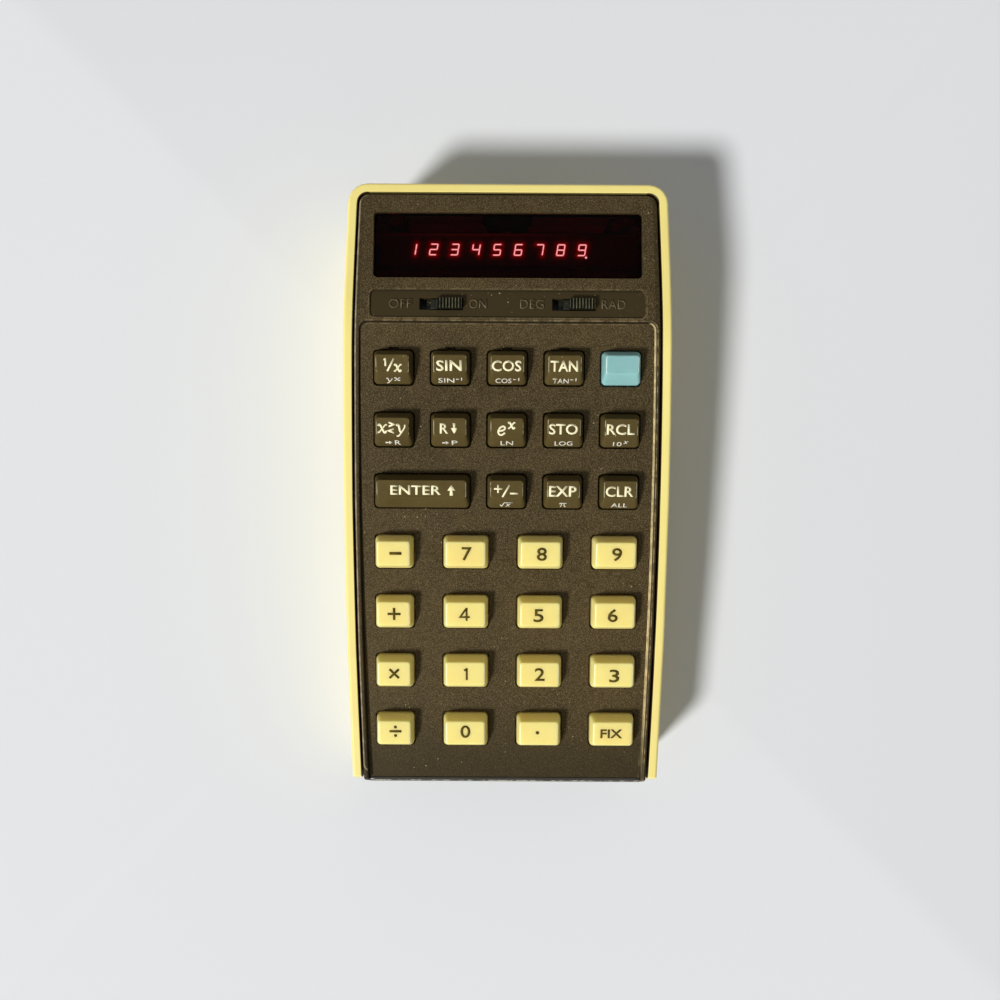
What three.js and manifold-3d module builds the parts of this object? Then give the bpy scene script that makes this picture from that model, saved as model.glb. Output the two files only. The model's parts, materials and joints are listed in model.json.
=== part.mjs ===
// A hand-held scientific calculator with a red LED display, built as separate pieces.
// Lengths are in millimetres. +Z is up, +Y points to the display end and +X to the user's right.
// The origin is on the table, under the middle of the case.
import * as THREE from "three";
import { mergeVertices } from "three/addons/utils/BufferGeometryUtils.js";
import Module from "manifold-3d";

const wasm = await Module();
wasm.setup();

// Overall form of the case
const RIDGE_BLEND = 5;
const RIM_SLOPE_DEG = 5.2;
const PANEL_SLOPE_DEG = 0.6;
const DISPLAY_SLOPE_DEG = 4.5;
const FRONT_RAKE = 0.9;
const FRONT_LIP = 1.8;
const BOW_CENTRE_Y = 7;
const BOW_RADIUS = 1650;
const FOOT_HEIGHT = 1;
const BELLY_RISE = 3.2;
const HUMP_MARGIN = 2.2;
const HUMP_RAMP = 3.5;
const REAR_CORNER_RADIUS = 4;
const FRONT_CORNER_RADIUS = 1.2;
const TUCK_INSET = 1.6;
const TUCK_HEIGHT = 6;

// Gaps between pieces
const SEAT_GAP = 0.3;
const SLIDE_GAP = 0.2;
const CUT_OVERRUN = 2;
const MERGE_DISTANCE = 1e-4;

// Back case
const RIM_WIDTH = 1.9;
const RIM_INNER_RADIUS = 2.6;
const FLOOR = 2;
const FRONT_SETBACK = 0.6;
const POCKET_WALL = 1.2;
const POCKET_CEILING = 0.8;

// Front case
const REVEAL = 0.45;
const FLUSH_DROP = 0.15;
const SKIN = 1.8;
const SKIRT_WALL = 1.8;
const SKIRT_DEPTH = 5.5;
const FRONT_CASE_REAR_RADIUS = 2.2;
const PANEL_INSET = 3.45;
const PANEL_DEPTH_AT_REAR = 0.35;
const PANEL_CORNER_RADIUS = 1.6;
const LUG_X = 18;
const LUG_WIDTH = 8;
const LUG_THICKNESS = 1.2;
const LUG_ENGAGEMENT = 1.3;
const LUG_HEIGHT = 2.5;

// Window, and the strip that holds the two switches
const WINDOW_SIDE_MARGIN = 0.35;
const WINDOW_HEIGHT = 13.8;
const WINDOW_RECESS = 0.5;
const WINDOW_FLANGE = 1.3;
const WINDOW_FLANGE_THICKNESS = 0.9;
const WINDOW_FLANGE_ROOM = 0.55;
const WINDOW_CORNER_RADIUS = 0.9;
const WINDOW_GAP = 2.7;
const STRIP_MARGIN = 1;
const STRIP_SIDE_MARGIN = 0.9;
const STRIP_HEIGHT = 5.4;
const STRIP_DEPTH = 0.35;
const STRIP_CORNER_RADIUS = 1;
const SLOT_X = 13.6;
const SLOT_LENGTH = 8.9;
const SLOT_WIDTH = 2.5;

// Switch knobs and the frame under them
const SWITCH_TRAVEL = 2;
const GRIP_STEP = 1.4;
const GRIP_STEP_DEPTH = 0.5;
const GRIP_RISE = 1;
const GRIP_RIBS = 8;
const RIB_HEIGHT = 0.3;
const SHOE_THICKNESS = 0.9;
const SHOE_OVERHANG = 0.85;
const FRAME_END = 3.4;
const FRAME_SIDE = 1.35;
const FRAME_WALL = 0.9;
const FRAME_WELL_DEPTH = 1.2;

// Keys
const ROW_PITCH = 12.7;
const FIRST_ROW_SETBACK = 9.4;
const LAST_ROW_MARGIN = 10.9;
const KEY_SIDE_ROOM = 2.47;
const ROW_COUNT = 7;
const FUNCTION_PITCH = 11.65;
const FUNCTION_KEY_WIDTH = 7.9;
const NUMBER_KEY_WIDTH = 9.3;
const OPERATOR_GAP = 6.3;
const KEY_DEPTH = 6.8;
const KEY_SHOULDER = 0.95;
const KEY_TOP_REAR = 3.4;
const KEY_TOP_FRONT = 3;
const KEY_REAR_RUN = 1.45;
const FUNCTION_FRONT_RUN = 1.95;
const NUMBER_FRONT_RUN = 0.9;
const KEY_SIDE_RUN = 0.7;
const KEY_CORNER_RADIUS = 0.8;
const KEY_CLEARANCE = 0.3;
const KEY_TRAVEL = 0.8;
const KEY_FLANGE = 0.7;
const KEY_FLANGE_THICKNESS = 0.9;
const KEY_NUB_RADIUS = 1.4;
const KEY_NUB_LENGTH = 0.7;
const NOTCH_WIDTH = 2;
const NOTCH_LENGTH = 0.45;

// Boards and what is on them
const DOME_RADIUS = 2.6;
const DOME_HEIGHT = 0.4;
const DOME_SHEET = 0.3;
const BOARD = 1.2;
const BOARD_SIDE_ROOM = 0.7;
const BOARD_HEADROOM = 0.45;
const KEY_BOARD_MARGIN = 6.4;
const BOARD_POST_RADIUS = 0.7;
const LOGIC_SIDE_MARGIN = 2;
const LOGIC_FRONT_MARGIN = 7.4;
const LOGIC_REAR_ROOM = 8.8;
const BOARD_SPACING = 3;
const LOGIC_POST_RADIUS = 1.5;
const LOGIC_POST_MARGIN = 3;
const CONNECTOR_LENGTH = 42;
const CONNECTOR_WIDTH = 2.5;
const CONNECTOR_MARGIN = 4;
const CHIP_HEIGHT = 3.2;
const CHIP_WIDTH = 6.6;
const CHIP_SPACING = 2;
const PROCESSOR_LENGTH = 22;
const MEMORY_LENGTH = 19;
const DRIVER_CHIP_LENGTH = 20;
const INDUCTOR_RADIUS = 3.8;
const INDUCTOR_HEIGHT = 4.6;
const DISPLAY_BOARD_MARGIN = 1.2;
const DISPLAY_BOARD = 1.1;
const LEDGE_REACH = 1;
const LEDGE_LENGTH = 3;
const DIGIT_COUNT = 12;
const DIGIT_PITCH = 4.455;
const DIGIT_OFFSET = 0.5;
const LENS_WIDTH = 4.8;
const LENS_BASE = 1.2;
const LENS_BULGE = 0.9;
const LENS_ROOM = 0.7;

// Battery pack and its bay
const BAY_END_ROOM = 3.05;
const BAY_SIDE_ROOM = 0.55;
const BAY_LEDGE = 0.85;
const PACK_COVER = 1.5;
const CELL_RADIUS = 7.15;
const CELL_LENGTH = 49;
const CELL_NUB_LENGTH = 1.3;
const CELL_NUB_RADIUS = 2.7;
const CELL_GAP = 0.5;
const SADDLE_X = 17;
const SADDLE_THICKNESS = 2;
const SADDLE_HEIGHT = 5;
const PACK_GRIP_RIBS = 5;
const PACK_GRIP_PITCH = 1.8;
const PACK_GRIP_LENGTH = 14;
const PACK_GRIP_DEPTH = 0.5;
const PACK_GRIP_WIDTH = 0.9;
const PACK_GRIP_SETBACK = 3;
const LINK_THICKNESS = 0.4;
const LINK_WIDTH = 6;
const CONTACT_THICKNESS = 0.4;
const CONTACT_WIDTH = 5;
const CONTACT_TAIL = 0.5;
const CONTACT_DROP = 4.65;
const CONTACT_TIP_RISE = 2.4;

// Feet, screws and charging socket
const FOOT_EDGE = 1.1;
const REAR_FOOT_X = 24;
const REAR_FOOT_RADIUS = 2.6;
const FRONT_FOOT_X = 24;
const FRONT_FOOT_RADIUS = 4;
const FRONT_FOOT_SETBACK = 10.3;
const FOOT_PLUG = 0.5;
const SCREW_HEAD_RADIUS = 2.1;
const SCREW_HEAD_HEIGHT = 1.3;
const SCREW_SHANK_RADIUS = 1;
const SCREW_SHANK_LENGTH = 8;
const SCREW_SLOT_WIDTH = 0.6;
const SCREW_SLOT_DEPTH = 0.5;
const SCREW_SEAT = 1.8;
const SCREW_PAD_WALL = 0.8;
const SCREW_POST_WALL = 1.1;
const SOCKET_Z = 12;
const SOCKET_SIZE = 9;
const SOCKET_FLANGE = 1;
const SOCKET_FLANGE_THICKNESS = 1.2;
const SOCKET_BORE_RADIUS = 2.7;
const SOCKET_BORE_DEPTH = 4.6;
const SOCKET_BACK = 1.6;
const SOCKET_PIN_RADIUS = 0.8;
const SOCKET_PIN_SETBACK = 0.8;

// Numbers of flat faces along round shapes
const CORNER_STEPS = 5;
const SMALL_CORNER_STEPS = 3;
const KEY_CORNER_STEPS = 2;
const SIDE_STEPS = 8;
const BLEND_STEPS = 6;
const TUCK_STEPS = 5;
const ROUND_STEPS = 24;
const SMALL_ROUND_STEPS = 12;
const DOME_STEPS = 8;
const LENS_STEPS = 5;

const RIM_SLOPE = THREE.MathUtils.degToRad(RIM_SLOPE_DEG);
const KEYPAD_SLOPE = THREE.MathUtils.degToRad(RIM_SLOPE_DEG + PANEL_SLOPE_DEG);
const DISPLAY_SLOPE = THREE.MathUtils.degToRad(DISPLAY_SLOPE_DEG);

// The plan of the case follows from the keys, the switch strip and the window
const WALLS = RIM_WIDTH + REVEAL + SKIRT_WALL;
const FUNCTION_SPAN = 4 * FUNCTION_PITCH + FUNCTION_KEY_WIDTH;
const NUMBER_PITCH = (FUNCTION_SPAN - FUNCTION_KEY_WIDTH - OPERATOR_GAP - NUMBER_KEY_WIDTH) / 2;
const KEYPAD_LENGTH = FIRST_ROW_SETBACK + (ROW_COUNT - 1) * ROW_PITCH + LAST_ROW_MARGIN;
const WINDOW_REAR_MARGIN = WALLS + WINDOW_FLANGE + WINDOW_FLANGE_ROOM;
const DISPLAY_LENGTH = STRIP_MARGIN + STRIP_HEIGHT + WINDOW_GAP + WINDOW_HEIGHT + WINDOW_REAR_MARGIN;
const BODY_WIDTH = FUNCTION_SPAN + 2 * (KEY_SIDE_ROOM + WALLS);
const BODY_LENGTH = FRONT_RAKE + KEYPAD_LENGTH * Math.cos(KEYPAD_SLOPE) + DISPLAY_LENGTH;
const FRONT_Y = -BODY_LENGTH / 2;
const REAR_Y = BODY_LENGTH / 2;
const FRONT_TOP_Y = FRONT_Y + FRONT_RAKE;
const RIDGE_Y = REAR_Y - DISPLAY_LENGTH;
const STRIP_Y = RIDGE_Y + STRIP_MARGIN + STRIP_HEIGHT / 2;
const WINDOW_Y = REAR_Y - WINDOW_REAR_MARGIN - WINDOW_HEIGHT / 2;
const WINDOW_WIDTH = FUNCTION_SPAN + 2 * WINDOW_SIDE_MARGIN;
const STRIP_WIDTH = FUNCTION_SPAN + 2 * STRIP_SIDE_MARGIN;
const GRIP_LENGTH = SLOT_LENGTH - SWITCH_TRAVEL - GRIP_STEP - 2 * SLIDE_GAP;

// Feet, screws and the battery bay
const REAR_FOOT_Y = REAR_Y - TUCK_INSET - FOOT_EDGE - SEAT_GAP - REAR_FOOT_RADIUS;
const FRONT_FOOT_Y = FRONT_Y + FRONT_FOOT_SETBACK;
const SCREW_HEAD_Z = FOOT_HEIGHT + FOOT_PLUG + SEAT_GAP;
const SCREW_PAD_TOP_Z = SCREW_HEAD_Z + SCREW_HEAD_HEIGHT + SEAT_GAP + SCREW_SEAT;
const SCREW_PAD_RADIUS = SCREW_HEAD_RADIUS + SEAT_GAP + SCREW_PAD_WALL;
const SCREW_POST_RADIUS = SCREW_SHANK_RADIUS + SEAT_GAP + SCREW_POST_WALL;
const CELL_SPACING = 2 * CELL_RADIUS + CELL_GAP;
const CELL_END_X = (CELL_LENGTH + CELL_NUB_LENGTH) / 2;
const BAY_LENGTH = 2 * (CELL_END_X + BAY_END_ROOM);
const BAY_WIDTH = CELL_SPACING + 2 * (CELL_RADIUS + BAY_SIDE_ROOM);
const LID_LENGTH = BAY_LENGTH + 2 * BAY_LEDGE;
const LID_WIDTH = BAY_WIDTH + 2 * BAY_LEDGE;
const POCKET_REAR_Y =
  REAR_FOOT_Y - Math.max(SCREW_PAD_RADIUS, REAR_FOOT_RADIUS + SEAT_GAP) + POCKET_WALL / 2;
const POCKET_FRONT_Y = POCKET_REAR_Y - LID_WIDTH - 2 * POCKET_WALL;
const BAY_Y = (POCKET_REAR_Y + POCKET_FRONT_Y) / 2;
const HUMP_FRONT_Y = POCKET_FRONT_Y - HUMP_MARGIN;
const COVER_BOTTOM_Z = FOOT_HEIGHT + SEAT_GAP;
const COVER_TOP_Z = COVER_BOTTOM_Z + PACK_COVER;
const CELL_Z = COVER_TOP_Z + SEAT_GAP + CELL_RADIUS;
const BAY_CEILING_Z = CELL_Z + CELL_RADIUS + SEAT_GAP;
const POCKET_TOP_Z = BAY_CEILING_Z + POCKET_CEILING;
const CELL_YS = [BAY_Y - CELL_SPACING / 2, BAY_Y + CELL_SPACING / 2];

// Depths below the keypad surface, from the skin down to the logic board
const FLANGE_TOP = SKIN + SEAT_GAP;
const FLANGE_BOTTOM = FLANGE_TOP + KEY_FLANGE_THICKNESS;
const NUB_BOTTOM = FLANGE_BOTTOM + KEY_NUB_LENGTH;
const DOME_TOP = NUB_BOTTOM + KEY_TRAVEL + SEAT_GAP;
const DOME_SHEET_BOTTOM = DOME_TOP + DOME_HEIGHT + DOME_SHEET;
const KEY_BOARD_TOP = DOME_SHEET_BOTTOM + SEAT_GAP;
const KEY_BOARD_BOTTOM = KEY_BOARD_TOP + BOARD;
const LOGIC_TOP = KEY_BOARD_BOTTOM + BOARD_SPACING;
const LOGIC_BOTTOM = LOGIC_TOP + BOARD;

// Depths below the display surface
const SHOE_TOP = SKIN + SEAT_GAP;
const FRAME_TOP = SHOE_TOP + SHOE_THICKNESS + SEAT_GAP;
const WINDOW_FLANGE_BOTTOM = SKIN + SEAT_GAP + WINDOW_FLANGE_THICKNESS;
const DISPLAY_BOARD_TOP = WINDOW_FLANGE_BOTTOM + LENS_ROOM + LENS_BULGE + LENS_BASE + SEAT_GAP;
const DISPLAY_BOARD_BOTTOM = DISPLAY_BOARD_TOP + DISPLAY_BOARD;

// The case is as high as the battery bay needs under the keyboard and under the display
const ORIGIN_OVER_BAY =
  POCKET_TOP_Z + BOARD_HEADROOM + KEY_BOARD_BOTTOM / Math.cos(KEYPAD_SLOPE) - POCKET_FRONT_Y * Math.tan(KEYPAD_SLOPE);
const RIM_OVER_KEYS =
  ORIGIN_OVER_BAY + RIDGE_Y * Math.tan(KEYPAD_SLOPE) + PANEL_DEPTH_AT_REAR + FLUSH_DROP;
const RIM_OVER_DISPLAY =
  POCKET_TOP_Z +
  BOARD_HEADROOM +
  DISPLAY_BOARD_BOTTOM / Math.cos(DISPLAY_SLOPE) +
  (POCKET_REAR_Y - RIDGE_Y) * Math.tan(DISPLAY_SLOPE) +
  FLUSH_DROP;
const RIM_PEAK_Z = Math.max(RIM_OVER_KEYS, RIM_OVER_DISPLAY);
const ABOVE_ALL_Z = RIM_PEAK_Z + CUT_OVERRUN;
const BELOW_ALL_Z = -CUT_OVERRUN;

// Materials
const material = (color, roughness, metalness = 0, opacity = 1) =>
  new THREE.MeshStandardMaterial({ color, roughness, metalness, opacity, transparent: opacity < 1 });
const CREAM_PLASTIC = material(0xf3e08f, 0.45);
const BLACK_PLASTIC = material(0x4a4030, 0.6);
const BLACK_KEY = material(0x4a4230, 0.35);
const CREAM_KEY = material(0xf7e58f, 0.35);
const BLUE_KEY = material(0x8cc3c0, 0.35);
const RED_FILTER = material(0x2a0203, 0.08, 0, 0.8);
const SWITCH_PLASTIC = material(0x23221c, 0.4);
const BOARD_GREEN = material(0x2f6b3a, 0.5);
const DOME_METAL = material(0xb9b4a6, 0.35, 0.9);
const CHIP_PLASTIC = material(0x1c1c1e, 0.5);
const LENS_PLASTIC = material(0x7a1414, 0.1, 0, 0.7);
const NICKEL = material(0xc4c2bb, 0.3, 1);
const CELL_WRAP = material(0x8f9499, 0.4, 0.3);
const RUBBER = material(0x2b2a28, 0.85);

// Turning three.js shapes into solids that can be joined and cut, and back

function solidOf(geometry) {
  const bare = geometry.index ? geometry.toNonIndexed() : geometry.clone();
  bare.deleteAttribute("normal");
  bare.deleteAttribute("uv");
  const merged = mergeVertices(bare, MERGE_DISTANCE);
  return new wasm.Manifold(
    new wasm.Mesh({
      numProp: 3,
      vertProperties: merged.attributes.position.array,
      triVerts: new Uint32Array(merged.index.array),
    }),
  );
}

function geometryOf(solid) {
  const mesh = solid.getMesh();
  const geometry = new THREE.BufferGeometry();
  geometry.setAttribute("position", new THREE.BufferAttribute(mesh.vertProperties, mesh.numProp));
  geometry.setIndex(new THREE.BufferAttribute(mesh.triVerts, 1));
  const flat = geometry.toNonIndexed();
  flat.computeVertexNormals();
  return flat;
}

const pair = (x) => [-x, x];
const joined = (first, ...others) => others.reduce((all, next) => all.add(next), first);
const cutBy = (first, ...tools) => tools.reduce((all, next) => all.subtract(next), first);

// Outlines are lists of [across, along] points, counter-clockwise seen from the side they rise to

function prism(points, height) {
  const shape = new THREE.Shape(points.map(([a, b]) => new THREE.Vector2(a, b)));
  return new THREE.ExtrudeGeometry(shape, { depth: height, bevelEnabled: false });
}

// An outline in X and Y, raised from lowZ to highZ.
const raised = (points, lowZ, highZ) => prism(points, highZ - lowZ).translate(0, 0, lowZ);

// A profile in Y and Z, carried across X from lowX to highX.
function carried(profile, lowX, highX) {
  const turn = new THREE.Matrix4().makeBasis(
    new THREE.Vector3(0, 1, 0),
    new THREE.Vector3(0, 0, 1),
    new THREE.Vector3(1, 0, 0),
  );
  return prism(profile, highX - lowX).applyMatrix4(turn).translate(lowX, 0, 0);
}

// A profile in X and Z, carried along Y from lowY to highY.
function carriedAlong(profile, lowY, highY) {
  const turn = new THREE.Matrix4().makeBasis(
    new THREE.Vector3(1, 0, 0),
    new THREE.Vector3(0, 0, 1),
    new THREE.Vector3(0, -1, 0),
  );
  return prism(profile, highY - lowY).applyMatrix4(turn).translate(0, highY, 0);
}

function box(lowX, highX, lowY, highY, lowZ, highZ) {
  return new THREE.BoxGeometry(highX - lowX, highY - lowY, highZ - lowZ).translate(
    (lowX + highX) / 2,
    (lowY + highY) / 2,
    (lowZ + highZ) / 2,
  );
}

// An upright round bar.
function bar(radius, x, y, lowZ, highZ, steps = SMALL_ROUND_STEPS) {
  return new THREE.CylinderGeometry(radius, radius, highZ - lowZ, steps)
    .rotateX(Math.PI / 2)
    .translate(x, y, (lowZ + highZ) / 2);
}

function cornerPoints(centreX, centreY, radius, startTurn, steps) {
  return Array.from({ length: steps + 1 }, (_, i) => {
    const turn = startTurn + ((i / steps) * Math.PI) / 2;
    return [centreX + radius * Math.cos(turn), centreY + radius * Math.sin(turn)];
  });
}

function roundedRectangle(width, height, radius, centreX = 0, centreY = 0, steps = SMALL_CORNER_STEPS) {
  const x = width / 2 - radius;
  const y = height / 2 - radius;
  return [
    ...cornerPoints(centreX + x, centreY - y, radius, -Math.PI / 2, steps),
    ...cornerPoints(centreX + x, centreY + y, radius, 0, steps),
    ...cornerPoints(centreX - x, centreY + y, radius, Math.PI / 2, steps),
    ...cornerPoints(centreX - x, centreY - y, radius, Math.PI, steps),
  ];
}

// The case in plan: sides that bow gently outwards, round rear corners, tighter front ones.
const halfWidthAt = (y) => BODY_WIDTH / 2 - (y - BOW_CENTRE_Y) ** 2 / (2 * BOW_RADIUS);

function casePlan(inset, rearRadius, frontRadius, frontY = FRONT_Y + inset, rearY = REAR_Y - inset) {
  const sideX = (y) => halfWidthAt(y) - inset;
  const sideStart = frontY + frontRadius;
  const sideEnd = rearY - rearRadius;
  const right = [
    ...cornerPoints(sideX(sideStart) - frontRadius, sideStart, frontRadius, -Math.PI / 2, SMALL_CORNER_STEPS),
    ...Array.from({ length: SIDE_STEPS - 1 }, (_, i) => {
      const y = sideStart + ((i + 1) / SIDE_STEPS) * (sideEnd - sideStart);
      return [sideX(y), y];
    }),
    ...cornerPoints(sideX(sideEnd) - rearRadius, sideEnd, rearRadius, 0, CORNER_STEPS),
  ];
  const left = right.map(([x, y]) => [-x, y]).reverse();
  return [...right, ...left];
}

// Height of the top of the case above the table, as two planes that blend over the ridge.
function crownZ(y) {
  const towardsFront = RIM_PEAK_Z - (RIDGE_Y - y) * Math.tan(RIM_SLOPE);
  const towardsRear = RIM_PEAK_Z - (y - RIDGE_Y) * Math.tan(DISPLAY_SLOPE);
  const across = (y - RIDGE_Y + RIDGE_BLEND) / (2 * RIDGE_BLEND);
  if (across <= 0) return towardsFront;
  if (across >= 1) return towardsRear;
  const startZ = RIM_PEAK_Z - RIDGE_BLEND * Math.tan(RIM_SLOPE);
  const endZ = RIM_PEAK_Z - RIDGE_BLEND * Math.tan(DISPLAY_SLOPE);
  return (1 - across) ** 2 * startZ + 2 * across * (1 - across) * RIM_PEAK_Z + across ** 2 * endZ;
}

// The crown from the rear to the front as [y, z] points, lowered by a drop.
function crownPoints(frontY, rearY, drop) {
  const blend = Array.from({ length: BLEND_STEPS + 1 }, (_, i) => {
    const y = RIDGE_Y + RIDGE_BLEND - (i / BLEND_STEPS) * 2 * RIDGE_BLEND;
    return [y, crownZ(y) - drop];
  });
  return [[rearY, crownZ(rearY) - drop], ...blend, [frontY, crownZ(frontY) - drop]];
}

// The underside: it rises towards the middle, then a hump for the battery comes down at the rear.
const bellyZ = (y) =>
  FOOT_HEIGHT + (BELLY_RISE * (y - FRONT_Y)) / (HUMP_FRONT_Y - HUMP_RAMP - FRONT_Y);
const undersideZ = (y) => (y >= HUMP_FRONT_Y ? FOOT_HEIGHT : bellyZ(y));
const undersidePoints = (rise) => [
  [FRONT_Y, FOOT_HEIGHT + rise],
  [HUMP_FRONT_Y - HUMP_RAMP, FOOT_HEIGHT + BELLY_RISE + rise],
  [HUMP_FRONT_Y, FOOT_HEIGHT + rise],
];

// Rings of points, bottom to top, closed with a fan at each end.
function loft(rings) {
  const count = rings[0].length;
  const positions = rings.flat(2);
  const triangles = [];
  for (let ring = 0; ring < rings.length - 1; ring += 1) {
    for (let i = 0; i < count; i += 1) {
      const a = ring * count + i;
      const b = ring * count + ((i + 1) % count);
      triangles.push(a, b, b + count, a, b + count, a + count);
    }
  }
  const last = (rings.length - 1) * count;
  for (let i = 1; i < count - 1; i += 1) {
    triangles.push(0, i + 1, i, last, last + i, last + i + 1);
  }
  const geometry = new THREE.BufferGeometry();
  geometry.setAttribute("position", new THREE.Float32BufferAttribute(positions, 3));
  geometry.setIndex(triangles);
  return geometry;
}

// The case's outer form in plan, tucked in under its lower edge along a quarter ellipse.
function tuckedBlock() {
  const levels = Array.from({ length: TUCK_STEPS + 1 }, (_, i) => {
    const turn = ((i / TUCK_STEPS) * Math.PI) / 2;
    return [TUCK_INSET * (1 - Math.sin(turn)), FOOT_HEIGHT + TUCK_HEIGHT * (1 - Math.cos(turn))];
  });
  levels.push([0, ABOVE_ALL_Z]);
  return loft(
    levels.map(([inset, z]) =>
      casePlan(inset, REAR_CORNER_RADIUS, FRONT_CORNER_RADIUS).map(([x, y]) => [x, y, z]),
    ),
  );
}

// Frames that the keypad and the display parts are laid out in: X across, Y up the slope, Z out of it

const KEYPAD_ORIGIN_Z = RIM_PEAK_Z - FLUSH_DROP - PANEL_DEPTH_AT_REAR - RIDGE_Y * Math.tan(KEYPAD_SLOPE);
const keypadMatrix = new THREE.Matrix4()
  .makeRotationX(KEYPAD_SLOPE)
  .setPosition(0, 0, KEYPAD_ORIGIN_Z);
const displayMatrix = new THREE.Matrix4()
  .makeRotationX(-DISPLAY_SLOPE)
  .setPosition(0, RIDGE_Y, RIM_PEAK_Z - FLUSH_DROP);
const onKeypad = (geometry) => geometry.applyMatrix4(keypadMatrix);
const onDisplay = (geometry) => geometry.applyMatrix4(displayMatrix);
const displayV = (y) => (y - RIDGE_Y) / Math.cos(DISPLAY_SLOPE);
const keypadZ = (y, depth) => KEYPAD_ORIGIN_Z + y * Math.tan(KEYPAD_SLOPE) - depth / Math.cos(KEYPAD_SLOPE);
const displayZ = (y, depth) =>
  RIM_PEAK_Z - FLUSH_DROP - (y - RIDGE_Y) * Math.tan(DISPLAY_SLOPE) - depth / Math.cos(DISPLAY_SLOPE);

// The front wall stands upright up to its knee, and leans back from there to the top edge
const FRONT_TOP_Z = crownZ(FRONT_TOP_Y) - FLUSH_DROP;
const FRONT_KNEE_Z = FRONT_TOP_Z - FRONT_LIP;
const LUG_TOP_Z = FOOT_HEIGHT + FLOOR + LUG_HEIGHT;

// Where the keys are: name, middle across, place up the slope, width, front slope and material
const functionX = (column) => (column - 2) * FUNCTION_PITCH;
const numberX = (column) => FUNCTION_SPAN / 2 - NUMBER_KEY_WIDTH / 2 - (2 - column) * NUMBER_PITCH;
const rowV = (row) => RIDGE_Y / Math.cos(KEYPAD_SLOPE) - FIRST_ROW_SETBACK - row * ROW_PITCH;

function keyList() {
  const functionRows = [
    ["key_reciprocal", "key_sine", "key_cosine", "key_tangent", "key_shift"],
    ["key_exchange", "key_roll_down", "key_exponential", "key_store", "key_recall"],
    [null, null, "key_change_sign", "key_exponent", "key_clear"],
  ];
  const numberRows = [
    ["key_minus", "key_7", "key_8", "key_9"],
    ["key_plus", "key_4", "key_5", "key_6"],
    ["key_times", "key_1", "key_2", "key_3"],
    ["key_divide", "key_0", "key_point", "key_format"],
  ];
  const keys = [
    {
      name: "key_enter",
      x: functionX(0) + FUNCTION_PITCH / 2,
      v: rowV(2),
      width: FUNCTION_PITCH + FUNCTION_KEY_WIDTH,
      frontRun: FUNCTION_FRONT_RUN,
      finish: BLACK_KEY,
      notched: false,
    },
  ];
  functionRows.forEach((names, row) =>
    names.forEach((name, column) => {
      if (!name) return;
      const isShift = name === "key_shift";
      keys.push({
        name,
        x: functionX(column),
        v: rowV(row),
        width: FUNCTION_KEY_WIDTH,
        frontRun: FUNCTION_FRONT_RUN,
        finish: isShift ? BLUE_KEY : BLACK_KEY,
        notched: row === 0 && !isShift,
      });
    }),
  );
  numberRows.forEach((names, row) =>
    names.forEach((name, column) => {
      const isOperator = column === 0;
      keys.push({
        name,
        x: isOperator ? functionX(0) : numberX(column - 1),
        v: rowV(row + functionRows.length),
        width: isOperator ? FUNCTION_KEY_WIDTH : NUMBER_KEY_WIDTH,
        frontRun: NUMBER_FRONT_RUN,
        finish: CREAM_KEY,
        notched: false,
      });
    }),
  );
  return keys;
}

const KEYS = keyList();

// Outlines of the boards
const KEY_BOARD_HALF_WIDTH = halfWidthAt(FRONT_TOP_Y) - WALLS - BOARD_SIDE_ROOM;
const KEY_BOARD_FRONT_V = rowV(ROW_COUNT - 1) - KEY_BOARD_MARGIN;
const KEY_BOARD_REAR_V = rowV(0) + KEY_BOARD_MARGIN;
const BOARD_POST_X = KEY_BOARD_HALF_WIDTH - BOARD_POST_RADIUS - SLIDE_GAP;
const DOME_SHEET_HALF_WIDTH = BOARD_POST_X - BOARD_POST_RADIUS - SLIDE_GAP;
const LOGIC_HALF_WIDTH = KEY_BOARD_HALF_WIDTH - LOGIC_SIDE_MARGIN;
const LOGIC_FRONT_V = KEY_BOARD_FRONT_V + LOGIC_FRONT_MARGIN;
const LOGIC_REAR_V = POCKET_FRONT_Y / Math.cos(KEYPAD_SLOPE) - LOGIC_REAR_ROOM;
const LOGIC_POST_X = LOGIC_HALF_WIDTH - LOGIC_POST_MARGIN;
const DISPLAY_BOARD_HALF_WIDTH = halfWidthAt(REAR_Y) - WALLS - BOARD_SIDE_ROOM;
const DISPLAY_BOARD_REAR_V = displayV(REAR_FOOT_Y - SCREW_POST_RADIUS - SEAT_GAP);

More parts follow.
